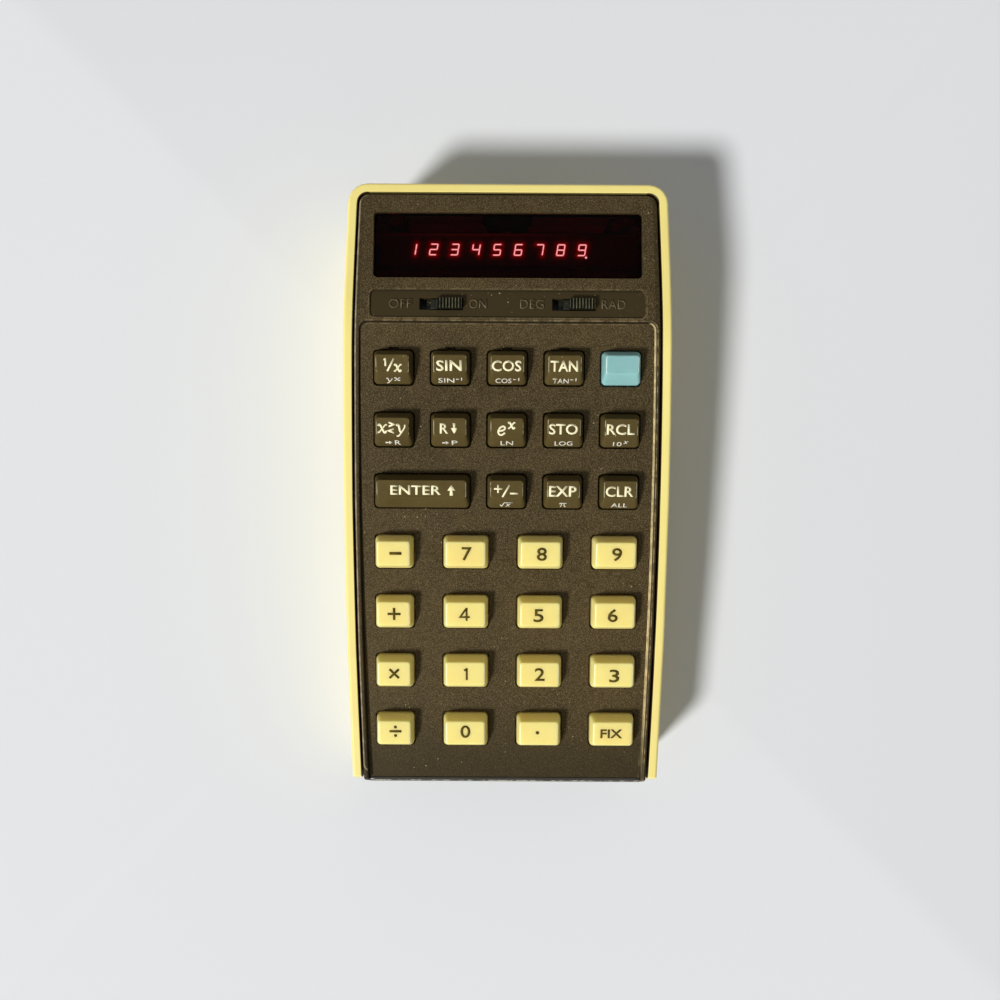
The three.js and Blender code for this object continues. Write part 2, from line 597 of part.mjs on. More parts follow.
function makeKey({ width, frontRun }) {
  const half = KEY_DEPTH / 2;
  const overlap = KEY_FLANGE_THICKNESS / 2;
  const profile = [
    [-half, -FLANGE_TOP - overlap],
    [half, -FLANGE_TOP - overlap],
    [half, KEY_SHOULDER],
    [half - KEY_REAR_RUN, KEY_TOP_REAR],
    [-half + frontRun, KEY_TOP_FRONT],
    [-half, KEY_SHOULDER],
  ];
  const front = [
    [-width / 2, -FLANGE_TOP - overlap],
    [width / 2, -FLANGE_TOP - overlap],
    [width / 2, KEY_SHOULDER],
    [width / 2 - KEY_SIDE_RUN, KEY_TOP_REAR],
    [-width / 2 + KEY_SIDE_RUN, KEY_TOP_REAR],
    [-width / 2, KEY_SHOULDER],
  ];
  const plan = roundedRectangle(width, KEY_DEPTH, KEY_CORNER_RADIUS, 0, 0, KEY_CORNER_STEPS);
  const cap = solidOf(carried(profile, -width, width))
    .intersect(solidOf(carriedAlong(front, -KEY_DEPTH, KEY_DEPTH)))
    .intersect(solidOf(raised(plan, -FLANGE_BOTTOM, KEY_TOP_REAR + CUT_OVERRUN)));
  const flange = box(
    -width / 2 - KEY_FLANGE,
    width / 2 + KEY_FLANGE,
    -half - KEY_FLANGE,
    half + KEY_FLANGE,
    -FLANGE_BOTTOM,
    -FLANGE_TOP,
  );
  const nub = bar(KEY_NUB_RADIUS, 0, 0, -NUB_BOTTOM, -FLANGE_BOTTOM + overlap, DOME_STEPS);
  return geometryOf(joined(cap, solidOf(flange), solidOf(nub)));
}

// A post for a case screw, under the window's flange, with a web that joins it to the rear skirt.
function screwPost(x) {
  const topZ = displayZ(REAR_Y - RIM_WIDTH, WINDOW_FLANGE_BOTTOM + SEAT_GAP);
  const bottomZ = SCREW_PAD_TOP_Z + SEAT_GAP;
  const boreTop = SCREW_HEAD_Z + SCREW_HEAD_HEIGHT + SCREW_SHANK_LENGTH + SEAT_GAP;
  const post = solidOf(bar(SCREW_POST_RADIUS, x, REAR_FOOT_Y, bottomZ, topZ));
  const webRear = REAR_Y - RIM_WIDTH - REVEAL - SKIRT_WALL / 2;
  const webBottom = displayZ(REAR_Y, SKIRT_DEPTH);
  const web = box(x - SCREW_POST_WALL, x + SCREW_POST_WALL, REAR_FOOT_Y, webRear, webBottom, topZ);
  const bore = bar(SCREW_SHANK_RADIUS + SEAT_GAP, x, REAR_FOOT_Y, bottomZ - CUT_OVERRUN, boreTop);
  return joined(post, solidOf(web)).subtract(solidOf(bore));
}

// Raised skin of the front case with its skirt, before any opening is cut.
function frontShell() {
  const inset = RIM_WIDTH + REVEAL;
  const rearY = REAR_Y - inset;
  const footZ = FOOT_HEIGHT + FLOOR + SEAT_GAP;
  const upper = [
    [FRONT_TOP_Y, FRONT_TOP_Z - SKIRT_DEPTH],
    [RIDGE_Y, crownZ(RIDGE_Y) - SKIRT_DEPTH],
    [rearY, crownZ(rearY) - SKIRT_DEPTH],
    ...crownPoints(FRONT_TOP_Y, rearY, FLUSH_DROP),
  ];
  const frontWall = [
    [FRONT_Y, footZ],
    [FRONT_Y + SKIRT_WALL, footZ],
    [FRONT_Y + SKIRT_WALL, FRONT_KNEE_Z],
    [FRONT_TOP_Y + SKIRT_WALL, FRONT_TOP_Z],
    [FRONT_TOP_Y, FRONT_TOP_Z],
    [FRONT_Y, FRONT_KNEE_Z],
  ];
  const plan = casePlan(inset, FRONT_CASE_REAR_RADIUS, REVEAL, FRONT_Y, rearY);
  const cavityPlan = casePlan(WALLS, REVEAL, REVEAL, FRONT_Y, REAR_Y - WALLS);
  const innerY = FRONT_Y + SKIRT_WALL;
  const ridgeUnder = keypadZ(RIDGE_Y, SKIN);
  const cavity = [
    [innerY, BELOW_ALL_Z],
    [REAR_Y, BELOW_ALL_Z],
    [REAR_Y, displayZ(REAR_Y, SKIN)],
    [RIDGE_Y + RIDGE_BLEND, Math.min(displayZ(RIDGE_Y + RIDGE_BLEND, SKIN), ridgeUnder)],
    [RIDGE_Y, ridgeUnder],
    [innerY, keypadZ(innerY, SKIN)],
  ];
  const outer = joined(
    solidOf(carried(upper, -BODY_WIDTH, BODY_WIDTH)),
    solidOf(carried(frontWall, -BODY_WIDTH, BODY_WIDTH)),
  ).intersect(solidOf(raised(plan, 0, ABOVE_ALL_Z)));
  const hollow = solidOf(carried(cavity, -BODY_WIDTH, BODY_WIDTH)).intersect(
    solidOf(raised(cavityPlan, BELOW_ALL_Z, ABOVE_ALL_Z)),
  );
  return outer.subtract(hollow);
}

function makeFrontCase() {
  const panelPlan = casePlan(PANEL_INSET, PANEL_CORNER_RADIUS, 0, FRONT_Y - CUT_OVERRUN, RIDGE_Y);
  const panelProfile = [
    [FRONT_Y, keypadZ(FRONT_Y, 0)],
    [RIDGE_Y, keypadZ(RIDGE_Y, 0)],
    [RIDGE_Y, ABOVE_ALL_Z],
    [FRONT_Y, ABOVE_ALL_Z],
  ];
  const panel = solidOf(raised(panelPlan, BELOW_ALL_Z, ABOVE_ALL_Z)).intersect(
    solidOf(carried(panelProfile, -BODY_WIDTH, BODY_WIDTH)),
  );
  const keyHoles = KEYS.map(({ x, v, width, notched }) => {
    const holeDepth = KEY_DEPTH + 2 * KEY_CLEARANCE;
    const holeWidth = width + 2 * KEY_CLEARANCE;
    const opening = roundedRectangle(holeWidth, holeDepth, KEY_CORNER_RADIUS, x, v, KEY_CORNER_STEPS);
    const hole = solidOf(onKeypad(raised(opening, -SKIN - CUT_OVERRUN, CUT_OVERRUN)));
    if (!notched) return hole;
    const notch = box(
      x - NOTCH_WIDTH / 2,
      x + NOTCH_WIDTH / 2,
      v,
      v + holeDepth / 2 + NOTCH_LENGTH,
      -SKIN - CUT_OVERRUN,
      CUT_OVERRUN,
    );
    return hole.add(solidOf(onKeypad(notch)));
  });
  const windowHole = roundedRectangle(
    WINDOW_WIDTH,
    WINDOW_HEIGHT,
    WINDOW_CORNER_RADIUS,
    0,
    displayV(WINDOW_Y),
  );
  const strip = roundedRectangle(STRIP_WIDTH, STRIP_HEIGHT, STRIP_CORNER_RADIUS, 0, displayV(STRIP_Y));
  const slots = pair(SLOT_X).map((x) =>
    box(
      x - SLOT_LENGTH / 2,
      x + SLOT_LENGTH / 2,
      displayV(STRIP_Y) - SLOT_WIDTH / 2,
      displayV(STRIP_Y) + SLOT_WIDTH / 2,
      -SKIN - CUT_OVERRUN,
      CUT_OVERRUN,
    ),
  );
  const ledgeInnerX = DISPLAY_BOARD_HALF_WIDTH - LEDGE_REACH;
  const ledgeOuterX = halfWidthAt(REAR_Y) - WALLS + SKIRT_WALL / 2;
  const ledges = pair((ledgeInnerX + ledgeOuterX) / 2).flatMap((x) =>
    [DISPLAY_BOARD_MARGIN, DISPLAY_BOARD_REAR_V - LEDGE_LENGTH].map((v) =>
      box(
        x - (ledgeOuterX - ledgeInnerX) / 2,
        x + (ledgeOuterX - ledgeInnerX) / 2,
        v,
        v + LEDGE_LENGTH,
        -DISPLAY_BOARD_TOP + SEAT_GAP,
        -WINDOW_FLANGE_BOTTOM - SEAT_GAP,
      ),
    ),
  );
  const posts = pair(BOARD_POST_X).flatMap((x) =>
    [0, 2, 4].map((row) =>
      bar(BOARD_POST_RADIUS, x, (rowV(row) + rowV(row + 1)) / 2, -KEY_BOARD_TOP + SEAT_GAP, -SKIN / 2),
    ),
  );
  const lugs = pair(LUG_X).map((x) => {
    const lowY = FRONT_Y + SKIRT_WALL - SEAT_GAP;
    const footZ = FOOT_HEIGHT + FLOOR + SEAT_GAP;
    return box(
      x - LUG_WIDTH / 2,
      x + LUG_WIDTH / 2,
      lowY,
      lowY + LUG_THICKNESS,
      footZ - SEAT_GAP - LUG_ENGAGEMENT,
      LUG_TOP_Z,
    );
  });
  const stripTool = raised(strip, -STRIP_DEPTH, CUT_OVERRUN);
  const shell = joined(
    frontShell(),
    ...ledges.map((ledge) => solidOf(onDisplay(ledge))),
    ...posts.map((post) => solidOf(onKeypad(post))),
    ...lugs.map(solidOf),
    screwPost(-REAR_FOOT_X),
    screwPost(REAR_FOOT_X),
  );
  return geometryOf(
    cutBy(
      shell,
      panel,
      ...keyHoles,
      solidOf(onDisplay(raised(windowHole, -SKIN - CUT_OVERRUN, CUT_OVERRUN))),
      solidOf(onDisplay(stripTool)),
      ...slots.map((slot) => solidOf(onDisplay(slot))),
    ),
  );
}

// Posts of the back case that carry the logic board from below.
function logicPosts() {
  const vs = [LOGIC_FRONT_V + LOGIC_POST_MARGIN, LOGIC_REAR_V - LOGIC_POST_MARGIN];
  return pair(LOGIC_POST_X).flatMap((x) =>
    vs.map((v) => {
      const y = v * Math.cos(KEYPAD_SLOPE) + LOGIC_BOTTOM * Math.sin(KEYPAD_SLOPE);
      const topZ = keypadZ(y - LOGIC_POST_RADIUS, LOGIC_BOTTOM) - SEAT_GAP;
      return solidOf(bar(LOGIC_POST_RADIUS, x, y, undersideZ(y) + FLOOR / 2, topZ));
    }),
  );
}

function makeBackCase() {
  const topY = FRONT_TOP_Y + FRONT_SETBACK;
  const envelope = [
    [FRONT_Y + FRONT_SETBACK, undersideZ(FRONT_Y + FRONT_SETBACK)],
    ...undersidePoints(0).slice(1),
    [REAR_Y, FOOT_HEIGHT],
    ...crownPoints(topY, REAR_Y, 0),
    [FRONT_Y + FRONT_SETBACK, FRONT_KNEE_Z],
  ];
  const hollowProfile = [
    [FRONT_Y - CUT_OVERRUN, FOOT_HEIGHT + FLOOR],
    ...undersidePoints(FLOOR),
    [REAR_Y, FOOT_HEIGHT + FLOOR],
    [REAR_Y, ABOVE_ALL_Z],
    [FRONT_Y - CUT_OVERRUN, ABOVE_ALL_Z],
  ];
  const hollowPlan = casePlan(
    RIM_WIDTH,
    RIM_INNER_RADIUS,
    0,
    FRONT_Y - CUT_OVERRUN,
    REAR_Y - RIM_WIDTH,
  );
  const outer = solidOf(tuckedBlock()).intersect(solidOf(carried(envelope, -BODY_WIDTH, BODY_WIDTH)));
  const hollow = solidOf(carried(hollowProfile, -BODY_WIDTH, BODY_WIDTH)).intersect(
    solidOf(raised(hollowPlan, BELOW_ALL_Z, ABOVE_ALL_Z)),
  );
  const pocket = box(
    -LID_LENGTH / 2 - POCKET_WALL,
    LID_LENGTH / 2 + POCKET_WALL,
    POCKET_FRONT_Y,
    POCKET_REAR_Y,
    FOOT_HEIGHT + FLOOR / 2,
    POCKET_TOP_Z,
  );
  const pads = pair(REAR_FOOT_X).map((x) =>
    bar(SCREW_PAD_RADIUS, x, REAR_FOOT_Y, FOOT_HEIGHT + FLOOR / 2, SCREW_PAD_TOP_Z),
  );
  const walls = joined(
    outer.subtract(hollow),
    solidOf(pocket),
    ...pads.map(solidOf),
    ...logicPosts(),
  );
  const contactSlots = CELL_YS.map((y) =>
    box(
      BAY_LENGTH / 2 - CONTACT_TAIL - CONTACT_THICKNESS - SEAT_GAP,
      BAY_LENGTH / 2 - CONTACT_TAIL + SEAT_GAP,
      y - CONTACT_WIDTH / 2 - SEAT_GAP,
      y + CONTACT_WIDTH / 2 + SEAT_GAP,
      BAY_CEILING_Z - CUT_OVERRUN,
      POCKET_TOP_Z + CUT_OVERRUN,
    ),
  );
  const bayTools = [
    box(
      -LID_LENGTH / 2,
      LID_LENGTH / 2,
      BAY_Y - LID_WIDTH / 2,
      BAY_Y + LID_WIDTH / 2,
      BELOW_ALL_Z,
      COVER_TOP_Z + SEAT_GAP,
    ),
    box(
      -BAY_LENGTH / 2,
      BAY_LENGTH / 2,
      BAY_Y - BAY_WIDTH / 2,
      BAY_Y + BAY_WIDTH / 2,
      BELOW_ALL_Z,
      BAY_CEILING_Z,
    ),
  ];
  const headTop = SCREW_HEAD_Z + SCREW_HEAD_HEIGHT + SEAT_GAP;
  const rearTools = pair(REAR_FOOT_X).flatMap((x) => [
    bar(REAR_FOOT_RADIUS + SEAT_GAP, x, REAR_FOOT_Y, BELOW_ALL_Z, SCREW_HEAD_Z, ROUND_STEPS),
    bar(SCREW_HEAD_RADIUS + SEAT_GAP, x, REAR_FOOT_Y, BELOW_ALL_Z, headTop),
    bar(SCREW_SHANK_RADIUS + SEAT_GAP, x, REAR_FOOT_Y, BELOW_ALL_Z, SCREW_PAD_TOP_Z + CUT_OVERRUN),
  ]);
  const frontFootTop = undersideZ(FRONT_FOOT_Y) + FOOT_PLUG + SEAT_GAP;
  const frontTools = pair(FRONT_FOOT_X).map((x) =>
    bar(FRONT_FOOT_RADIUS + SEAT_GAP, x, FRONT_FOOT_Y, BELOW_ALL_Z, frontFootTop, ROUND_STEPS),
  );
  const lugLowY = FRONT_Y + SKIRT_WALL - SEAT_GAP;
  const lugTools = pair(LUG_X).map((x) =>
    box(
      x - LUG_WIDTH / 2 - SEAT_GAP,
      x + LUG_WIDTH / 2 + SEAT_GAP,
      lugLowY - SEAT_GAP,
      lugLowY + LUG_THICKNESS + SEAT_GAP,
      BELOW_ALL_Z,
      LUG_TOP_Z,
    ),
  );
  const socketHole = box(
    -SOCKET_SIZE / 2 - SEAT_GAP,
    SOCKET_SIZE / 2 + SEAT_GAP,
    REAR_Y - RIM_WIDTH - CUT_OVERRUN,
    REAR_Y + CUT_OVERRUN,
    SOCKET_Z - SOCKET_SIZE / 2 - SEAT_GAP,
    SOCKET_Z + SOCKET_SIZE / 2 + SEAT_GAP,
  );
  const tools = [...bayTools, ...contactSlots, ...rearTools, ...frontTools, ...lugTools, socketHole];
  return geometryOf(cutBy(walls, ...tools.map(solidOf)));
}

// The filter has a flange behind the skin and a plug that stands in the opening.
function makeWindow() {
  const v = displayV(WINDOW_Y);
  const flangeTop = -SKIN - SEAT_GAP;
  const flange = roundedRectangle(
    WINDOW_WIDTH + 2 * WINDOW_FLANGE,
    WINDOW_HEIGHT + 2 * WINDOW_FLANGE,
    WINDOW_CORNER_RADIUS,
    0,
    v,
  );
  const plug = roundedRectangle(
    WINDOW_WIDTH - 2 * SEAT_GAP,
    WINDOW_HEIGHT - 2 * SEAT_GAP,
    WINDOW_CORNER_RADIUS - SEAT_GAP,
    0,
    v,
  );
  return geometryOf(
    joined(
      solidOf(raised(flange, flangeTop - WINDOW_FLANGE_THICKNESS, flangeTop)),
      solidOf(raised(plug, flangeTop - WINDOW_FLANGE_THICKNESS / 2, -WINDOW_RECESS)),
    ),
  );
}

// A ribbed grip with a low step behind it, on a shoe that slides under the skin.
// X is measured from the slot's middle.
function makeKnob() {
  const gripRight = SLOT_LENGTH / 2 - SLIDE_GAP;
  const gripLeft = gripRight - GRIP_LENGTH;
  const stepLeft = gripLeft - GRIP_STEP;
  const pitch = GRIP_LENGTH / GRIP_RIBS;
  const ribs = Array.from({ length: GRIP_RIBS }, (_, i) => {
    const right = gripRight - i * pitch;
    return [
      [right, GRIP_RISE - RIB_HEIGHT],
      [right - pitch / 2, GRIP_RISE],
    ];
  }).flat();
  const grip = [
    [stepLeft, -SHOE_TOP - SHOE_THICKNESS / 2],
    [gripRight, -SHOE_TOP - SHOE_THICKNESS / 2],
    ...ribs,
    [gripLeft, GRIP_RISE - RIB_HEIGHT],
    [gripLeft, -GRIP_STEP_DEPTH],
    [stepLeft, -GRIP_STEP_DEPTH],
  ];
  const halfGrip = SLOT_WIDTH / 2 - SLIDE_GAP;
  const shoe = box(
    stepLeft - SHOE_OVERHANG,
    gripRight + SWITCH_TRAVEL + SLIDE_GAP + SHOE_OVERHANG,
    -SLOT_WIDTH / 2 - SHOE_OVERHANG,
    SLOT_WIDTH / 2 + SHOE_OVERHANG,
    -SHOE_TOP - SHOE_THICKNESS,
    -SHOE_TOP,
  );
  return geometryOf(joined(solidOf(carriedAlong(grip, -halfGrip, halfGrip)), solidOf(shoe)));
}

// The frame on the display board that holds the contacts under both knobs.
function makeSwitchFrame() {
  const v = displayV(STRIP_Y);
  const halfLength = SLOT_X + SLOT_LENGTH / 2 + FRAME_END;
  const halfWidth = SLOT_WIDTH / 2 + FRAME_SIDE;
  const body = box(
    -halfLength,
    halfLength,
    v - halfWidth,
    v + halfWidth,
    -DISPLAY_BOARD_TOP + SEAT_GAP,
    -FRAME_TOP,
  );
  const wells = pair(SLOT_X).map((x) =>
    box(
      x - SLOT_LENGTH / 2,
      x + SLOT_LENGTH / 2,
      v - halfWidth + FRAME_WALL,
      v + halfWidth - FRAME_WALL,
      -FRAME_TOP - FRAME_WELL_DEPTH,
      -FRAME_TOP + CUT_OVERRUN,
    ),
  );
  return geometryOf(cutBy(solidOf(body), ...wells.map(solidOf)));
}

// A sheet with one low snap dome under each key.
function makeDomeSheet() {
  const sheet = box(
    -DOME_SHEET_HALF_WIDTH,
    DOME_SHEET_HALF_WIDTH,
    KEY_BOARD_FRONT_V,
    KEY_BOARD_REAR_V,
    -DOME_SHEET_BOTTOM,
    -DOME_SHEET_BOTTOM + DOME_SHEET,
  );
  const domes = KEYS.map(({ x, v }) => {
    const height = DOME_HEIGHT + DOME_SHEET / 2;
    const dome = new THREE.CylinderGeometry(DOME_RADIUS / 2, DOME_RADIUS, height, DOME_STEPS);
    return solidOf(dome.rotateX(Math.PI / 2).translate(x, v, -DOME_TOP - height / 2));
  });
  return geometryOf(joined(solidOf(sheet), ...domes));
}

const makeKeyBoard = () =>
  box(
    -KEY_BOARD_HALF_WIDTH,
    KEY_BOARD_HALF_WIDTH,
    KEY_BOARD_FRONT_V,
    KEY_BOARD_REAR_V,
    -KEY_BOARD_BOTTOM,
    -KEY_BOARD_TOP,
  );

const makeLogicBoard = () =>
  box(
    -LOGIC_HALF_WIDTH,
    LOGIC_HALF_WIDTH,
    LOGIC_FRONT_V,
    LOGIC_REAR_V,
    -LOGIC_BOTTOM,
    -LOGIC_TOP,
  );

const makeConnector = () =>
  box(
    -CONNECTOR_LENGTH / 2,
    CONNECTOR_LENGTH / 2,
    LOGIC_FRONT_V + CONNECTOR_MARGIN - CONNECTOR_WIDTH / 2,
    LOGIC_FRONT_V + CONNECTOR_MARGIN + CONNECTOR_WIDTH / 2,
    -LOGIC_TOP + SEAT_GAP,
    -KEY_BOARD_BOTTOM - SEAT_GAP,
  );

// Two rows of parts hang under the logic board, each row set out from the board's left posts.
const CHIPS_LEFT_X = -LOGIC_POST_X + LOGIC_POST_RADIUS + CHIP_SPACING;
const REAR_CHIPS_V = LOGIC_REAR_V - LOGIC_POST_MARGIN - CHIP_WIDTH / 2;
const FRONT_CHIPS_V = REAR_CHIPS_V - CHIP_WIDTH - CHIP_SPACING;
const MEMORY_LEFT_X = CHIPS_LEFT_X + PROCESSOR_LENGTH + CHIP_SPACING;
const INDUCTOR_X = CHIPS_LEFT_X + DRIVER_CHIP_LENGTH + CHIP_SPACING + INDUCTOR_RADIUS;

const makeChip = (length, leftX, v) =>
  box(
    leftX,
    leftX + length,
    v - CHIP_WIDTH / 2,
    v + CHIP_WIDTH / 2,
    -LOGIC_BOTTOM - SEAT_GAP - CHIP_HEIGHT,
    -LOGIC_BOTTOM - SEAT_GAP,
  );

const makeInductor = () =>
  bar(
    INDUCTOR_RADIUS,
    INDUCTOR_X,
    REAR_CHIPS_V,
    -LOGIC_BOTTOM - SEAT_GAP - INDUCTOR_HEIGHT,
    -LOGIC_BOTTOM - SEAT_GAP,
    ROUND_STEPS,
  );

const makeDisplayBoard = () =>
  box(
    -DISPLAY_BOARD_HALF_WIDTH,
    DISPLAY_BOARD_HALF_WIDTH,
    DISPLAY_BOARD_MARGIN,
    DISPLAY_BOARD_REAR_V,
    -DISPLAY_BOARD_BOTTOM,
    -DISPLAY_BOARD_TOP,
  );

// A bar with one bulging lens over each digit.
function makeLensBar() {
  const base = -DISPLAY_BOARD_TOP + SEAT_GAP;
  const half = (DIGIT_COUNT * DIGIT_PITCH) / 2;
  const bulges = Array.from({ length: DIGIT_COUNT }, (_, digit) =>
    Array.from({ length: LENS_STEPS }, (_, i) => {
      const across = i / LENS_STEPS;
      const rise = LENS_BULGE * Math.sin(across * Math.PI);
      return [half - (digit + across) * DIGIT_PITCH, base + LENS_BASE + rise];
    }),
  ).flat();
  const profile = [[-half, base], [half, base], ...bulges, [-half, base + LENS_BASE]];
  const v = displayV(WINDOW_Y + DIGIT_OFFSET);
  return carriedAlong(profile, v - LENS_WIDTH / 2, v + LENS_WIDTH / 2);
}

// The pack's cover, with two saddles for the cells and ribs for the thumb.
function makePackCover() {
  const halfLength = LID_LENGTH / 2 - SEAT_GAP;
  const halfWidth = LID_WIDTH / 2 - SEAT_GAP;
  const plate = box(
    -halfLength,
    halfLength,
    BAY_Y - halfWidth,
    BAY_Y + halfWidth,
    COVER_BOTTOM_Z,
    COVER_TOP_Z,
  );
  const saddles = pair(SADDLE_X).map((x) =>
    box(
      x - SADDLE_THICKNESS / 2,
      x + SADDLE_THICKNESS / 2,
      BAY_Y - BAY_WIDTH / 2 + SEAT_GAP,
      BAY_Y + BAY_WIDTH / 2 - SEAT_GAP,
      COVER_TOP_Z - PACK_COVER / 2,
      COVER_TOP_Z + SADDLE_HEIGHT,
    ),
  );
  const cells = CELL_YS.map((y) =>
    new THREE.CylinderGeometry(
      CELL_RADIUS + SEAT_GAP / 2,
      CELL_RADIUS + SEAT_GAP / 2,
      CELL_LENGTH,
      ROUND_STEPS,
    )
      .rotateZ(Math.PI / 2)
      .translate(0, y, CELL_Z),
  );
  const grooves = Array.from({ length: PACK_GRIP_RIBS }, (_, i) => {
    const y = BAY_Y - halfWidth + PACK_GRIP_SETBACK + i * PACK_GRIP_PITCH;
    return box(
      -PACK_GRIP_LENGTH / 2,
      PACK_GRIP_LENGTH / 2,
      y - PACK_GRIP_WIDTH / 2,
      y + PACK_GRIP_WIDTH / 2,
      BELOW_ALL_Z,
      COVER_BOTTOM_Z + PACK_GRIP_DEPTH,
    );
  });
  const body = joined(solidOf(plate), ...saddles.map(solidOf));
  return geometryOf(cutBy(body, ...cells.map(solidOf), ...grooves.map(solidOf)));
}

// A round cell along X with its button end towards +X or, turned about, towards -X.
function makeCell(direction) {
  const profile = [
    [0, -CELL_END_X],
    [CELL_RADIUS, -CELL_END_X],
    [CELL_RADIUS, CELL_END_X - CELL_NUB_LENGTH],
    [CELL_NUB_RADIUS, CELL_END_X - CELL_NUB_LENGTH],
    [CELL_NUB_RADIUS, CELL_END_X],
    [0, CELL_END_X],
  ].map(([radius, along]) => new THREE.Vector2(radius, along));
  return new THREE.LatheGeometry(profile, ROUND_STEPS).rotateZ((-direction * Math.PI) / 2);
}

const makeCellLink = () =>
  box(
    -CELL_END_X - SEAT_GAP - LINK_THICKNESS,
    -CELL_END_X - SEAT_GAP,
    CELL_YS[0] - LINK_WIDTH / 2,
    CELL_YS[1] + LINK_WIDTH / 2,
    CELL_Z - LINK_WIDTH / 2,
    CELL_Z + LINK_WIDTH / 2,
  );

// A leaf that runs down the bay's end wall and springs back up against the cell.
function makeContact(y) {
  const wallX = BAY_LENGTH / 2 - CONTACT_TAIL;
  const tipX = CELL_END_X + SEAT_GAP;
  const footZ = CELL_Z - CONTACT_DROP;
  const line = [
    [wallX, POCKET_TOP_Z],
    [wallX, footZ],
    [wallX - CONTACT_THICKNESS, footZ],
    [tipX, CELL_Z],
    [tipX + CONTACT_THICKNESS, CELL_Z + CONTACT_TIP_RISE],
    [tipX + 2 * CONTACT_THICKNESS, CELL_Z + CONTACT_TIP_RISE],
    [tipX + CONTACT_THICKNESS, CELL_Z],
    [wallX - CONTACT_THICKNESS, footZ + 2 * CONTACT_THICKNESS],
    [wallX - CONTACT_THICKNESS, POCKET_TOP_Z],
  ];
  return carriedAlong([...line].reverse(), y - CONTACT_WIDTH / 2, y + CONTACT_WIDTH / 2);
}

const makeFoot = (radius, x, y) =>
  bar(radius, x, y, 0, undersideZ(y) + FOOT_PLUG, ROUND_STEPS);

// A slotted screw, head down.
function makeScrew(x) {
  const seatZ = SCREW_HEAD_Z + SCREW_HEAD_HEIGHT;
  const head = bar(SCREW_HEAD_RADIUS, x, REAR_FOOT_Y, SCREW_HEAD_Z, seatZ);
  const shank = bar(
    SCREW_SHANK_RADIUS,
    x,
    REAR_FOOT_Y,
    SCREW_HEAD_Z + SCREW_HEAD_HEIGHT / 2,
    seatZ + SCREW_SHANK_LENGTH,
  );
  const slot = box(
    x - SCREW_HEAD_RADIUS,
    x + SCREW_HEAD_RADIUS,
    REAR_FOOT_Y - SCREW_SLOT_WIDTH / 2,
    REAR_FOOT_Y + SCREW_SLOT_WIDTH / 2,
    SCREW_HEAD_Z - CUT_OVERRUN,
    SCREW_HEAD_Z + SCREW_SLOT_DEPTH,
  );
  return geometryOf(joined(solidOf(head), solidOf(shank)).subtract(solidOf(slot)));
}

// A round bar that lies along Y.
function level(radius, lowY, highY, z, steps = SMALL_ROUND_STEPS) {
  return new THREE.CylinderGeometry(radius, radius, highY - lowY, steps)
    .translate(0, (lowY + highY) / 2, z);
}

const SOCKET_FACE_Y = REAR_Y - SEAT_GAP;
const SOCKET_BACK_Y = SOCKET_FACE_Y - SOCKET_BORE_DEPTH - SOCKET_BACK;

function makeSocket() {
  const half = SOCKET_SIZE / 2;
  const flangeY = REAR_Y - RIM_WIDTH - SEAT_GAP;
  const body = box(-half, half, SOCKET_BACK_Y, SOCKET_FACE_Y, SOCKET_Z - half, SOCKET_Z + half);
  const flange = box(
    -half - SOCKET_FLANGE,
    half + SOCKET_FLANGE,
    flangeY - SOCKET_FLANGE_THICKNESS,
    flangeY,
    SOCKET_Z - half - SOCKET_FLANGE,
    SOCKET_Z + half + SOCKET_FLANGE,
  );
  const bore = level(
    SOCKET_BORE_RADIUS,
    SOCKET_FACE_Y - SOCKET_BORE_DEPTH,
    SOCKET_FACE_Y + CUT_OVERRUN,
    SOCKET_Z,
    ROUND_STEPS,
  );
  const pinHole = level(
    SOCKET_PIN_RADIUS + SEAT_GAP,
    SOCKET_BACK_Y - CUT_OVERRUN,
    SOCKET_FACE_Y,
    SOCKET_Z,
  );
  const tools = [bore, pinHole].map(solidOf);
  return geometryOf(cutBy(joined(solidOf(body), solidOf(flange)), ...tools));
}

const makeSocketPin = () =>
  level(SOCKET_PIN_RADIUS, SOCKET_BACK_Y, SOCKET_FACE_Y - SOCKET_PIN_SETBACK, SOCKET_Z);

// The assembly

const calculator = new THREE.Group();
const keypad = new THREE.Group();
keypad.applyMatrix4(keypadMatrix);
const display = new THREE.Group();
display.applyMatrix4(displayMatrix);
calculator.add(keypad, display);

function place(name, geometry, finish, parent = calculator, x = 0, y = 0, z = 0) {
  const mesh = new THREE.Mesh(geometry, finish);
  mesh.name = name;
  mesh.position.set(x, y, z);
  parent.add(mesh);
}

place("back_case", makeBackCase(), CREAM_PLASTIC);
place("front_case", makeFrontCase(), BLACK_PLASTIC);
place("display_window", makeWindow(), RED_FILTER, display);
place("power_switch_knob", makeKnob(), SWITCH_PLASTIC, display, -SLOT_X, displayV(STRIP_Y));
place("angle_switch_knob", makeKnob(), SWITCH_PLASTIC, display, SLOT_X, displayV(STRIP_Y));
place("switch_frame", makeSwitchFrame(), CHIP_PLASTIC, display);
KEYS.forEach((key) => place(key.name, makeKey(key), key.finish, keypad, key.x, key.v));
place("key_dome_sheet", makeDomeSheet(), DOME_METAL, keypad);
place("keyboard_board", makeKeyBoard(), BOARD_GREEN, keypad);
place("board_connector", makeConnector(), CHIP_PLASTIC, keypad);
place("logic_board", makeLogicBoard(), BOARD_GREEN, keypad);
place("processor_chip", makeChip(PROCESSOR_LENGTH, CHIPS_LEFT_X, FRONT_CHIPS_V), CHIP_PLASTIC, keypad);
place("memory_chip", makeChip(MEMORY_LENGTH, MEMORY_LEFT_X, FRONT_CHIPS_V), CHIP_PLASTIC, keypad);
place("display_driver_chip", makeChip(DRIVER_CHIP_LENGTH, CHIPS_LEFT_X, REAR_CHIPS_V), CHIP_PLASTIC, keypad);
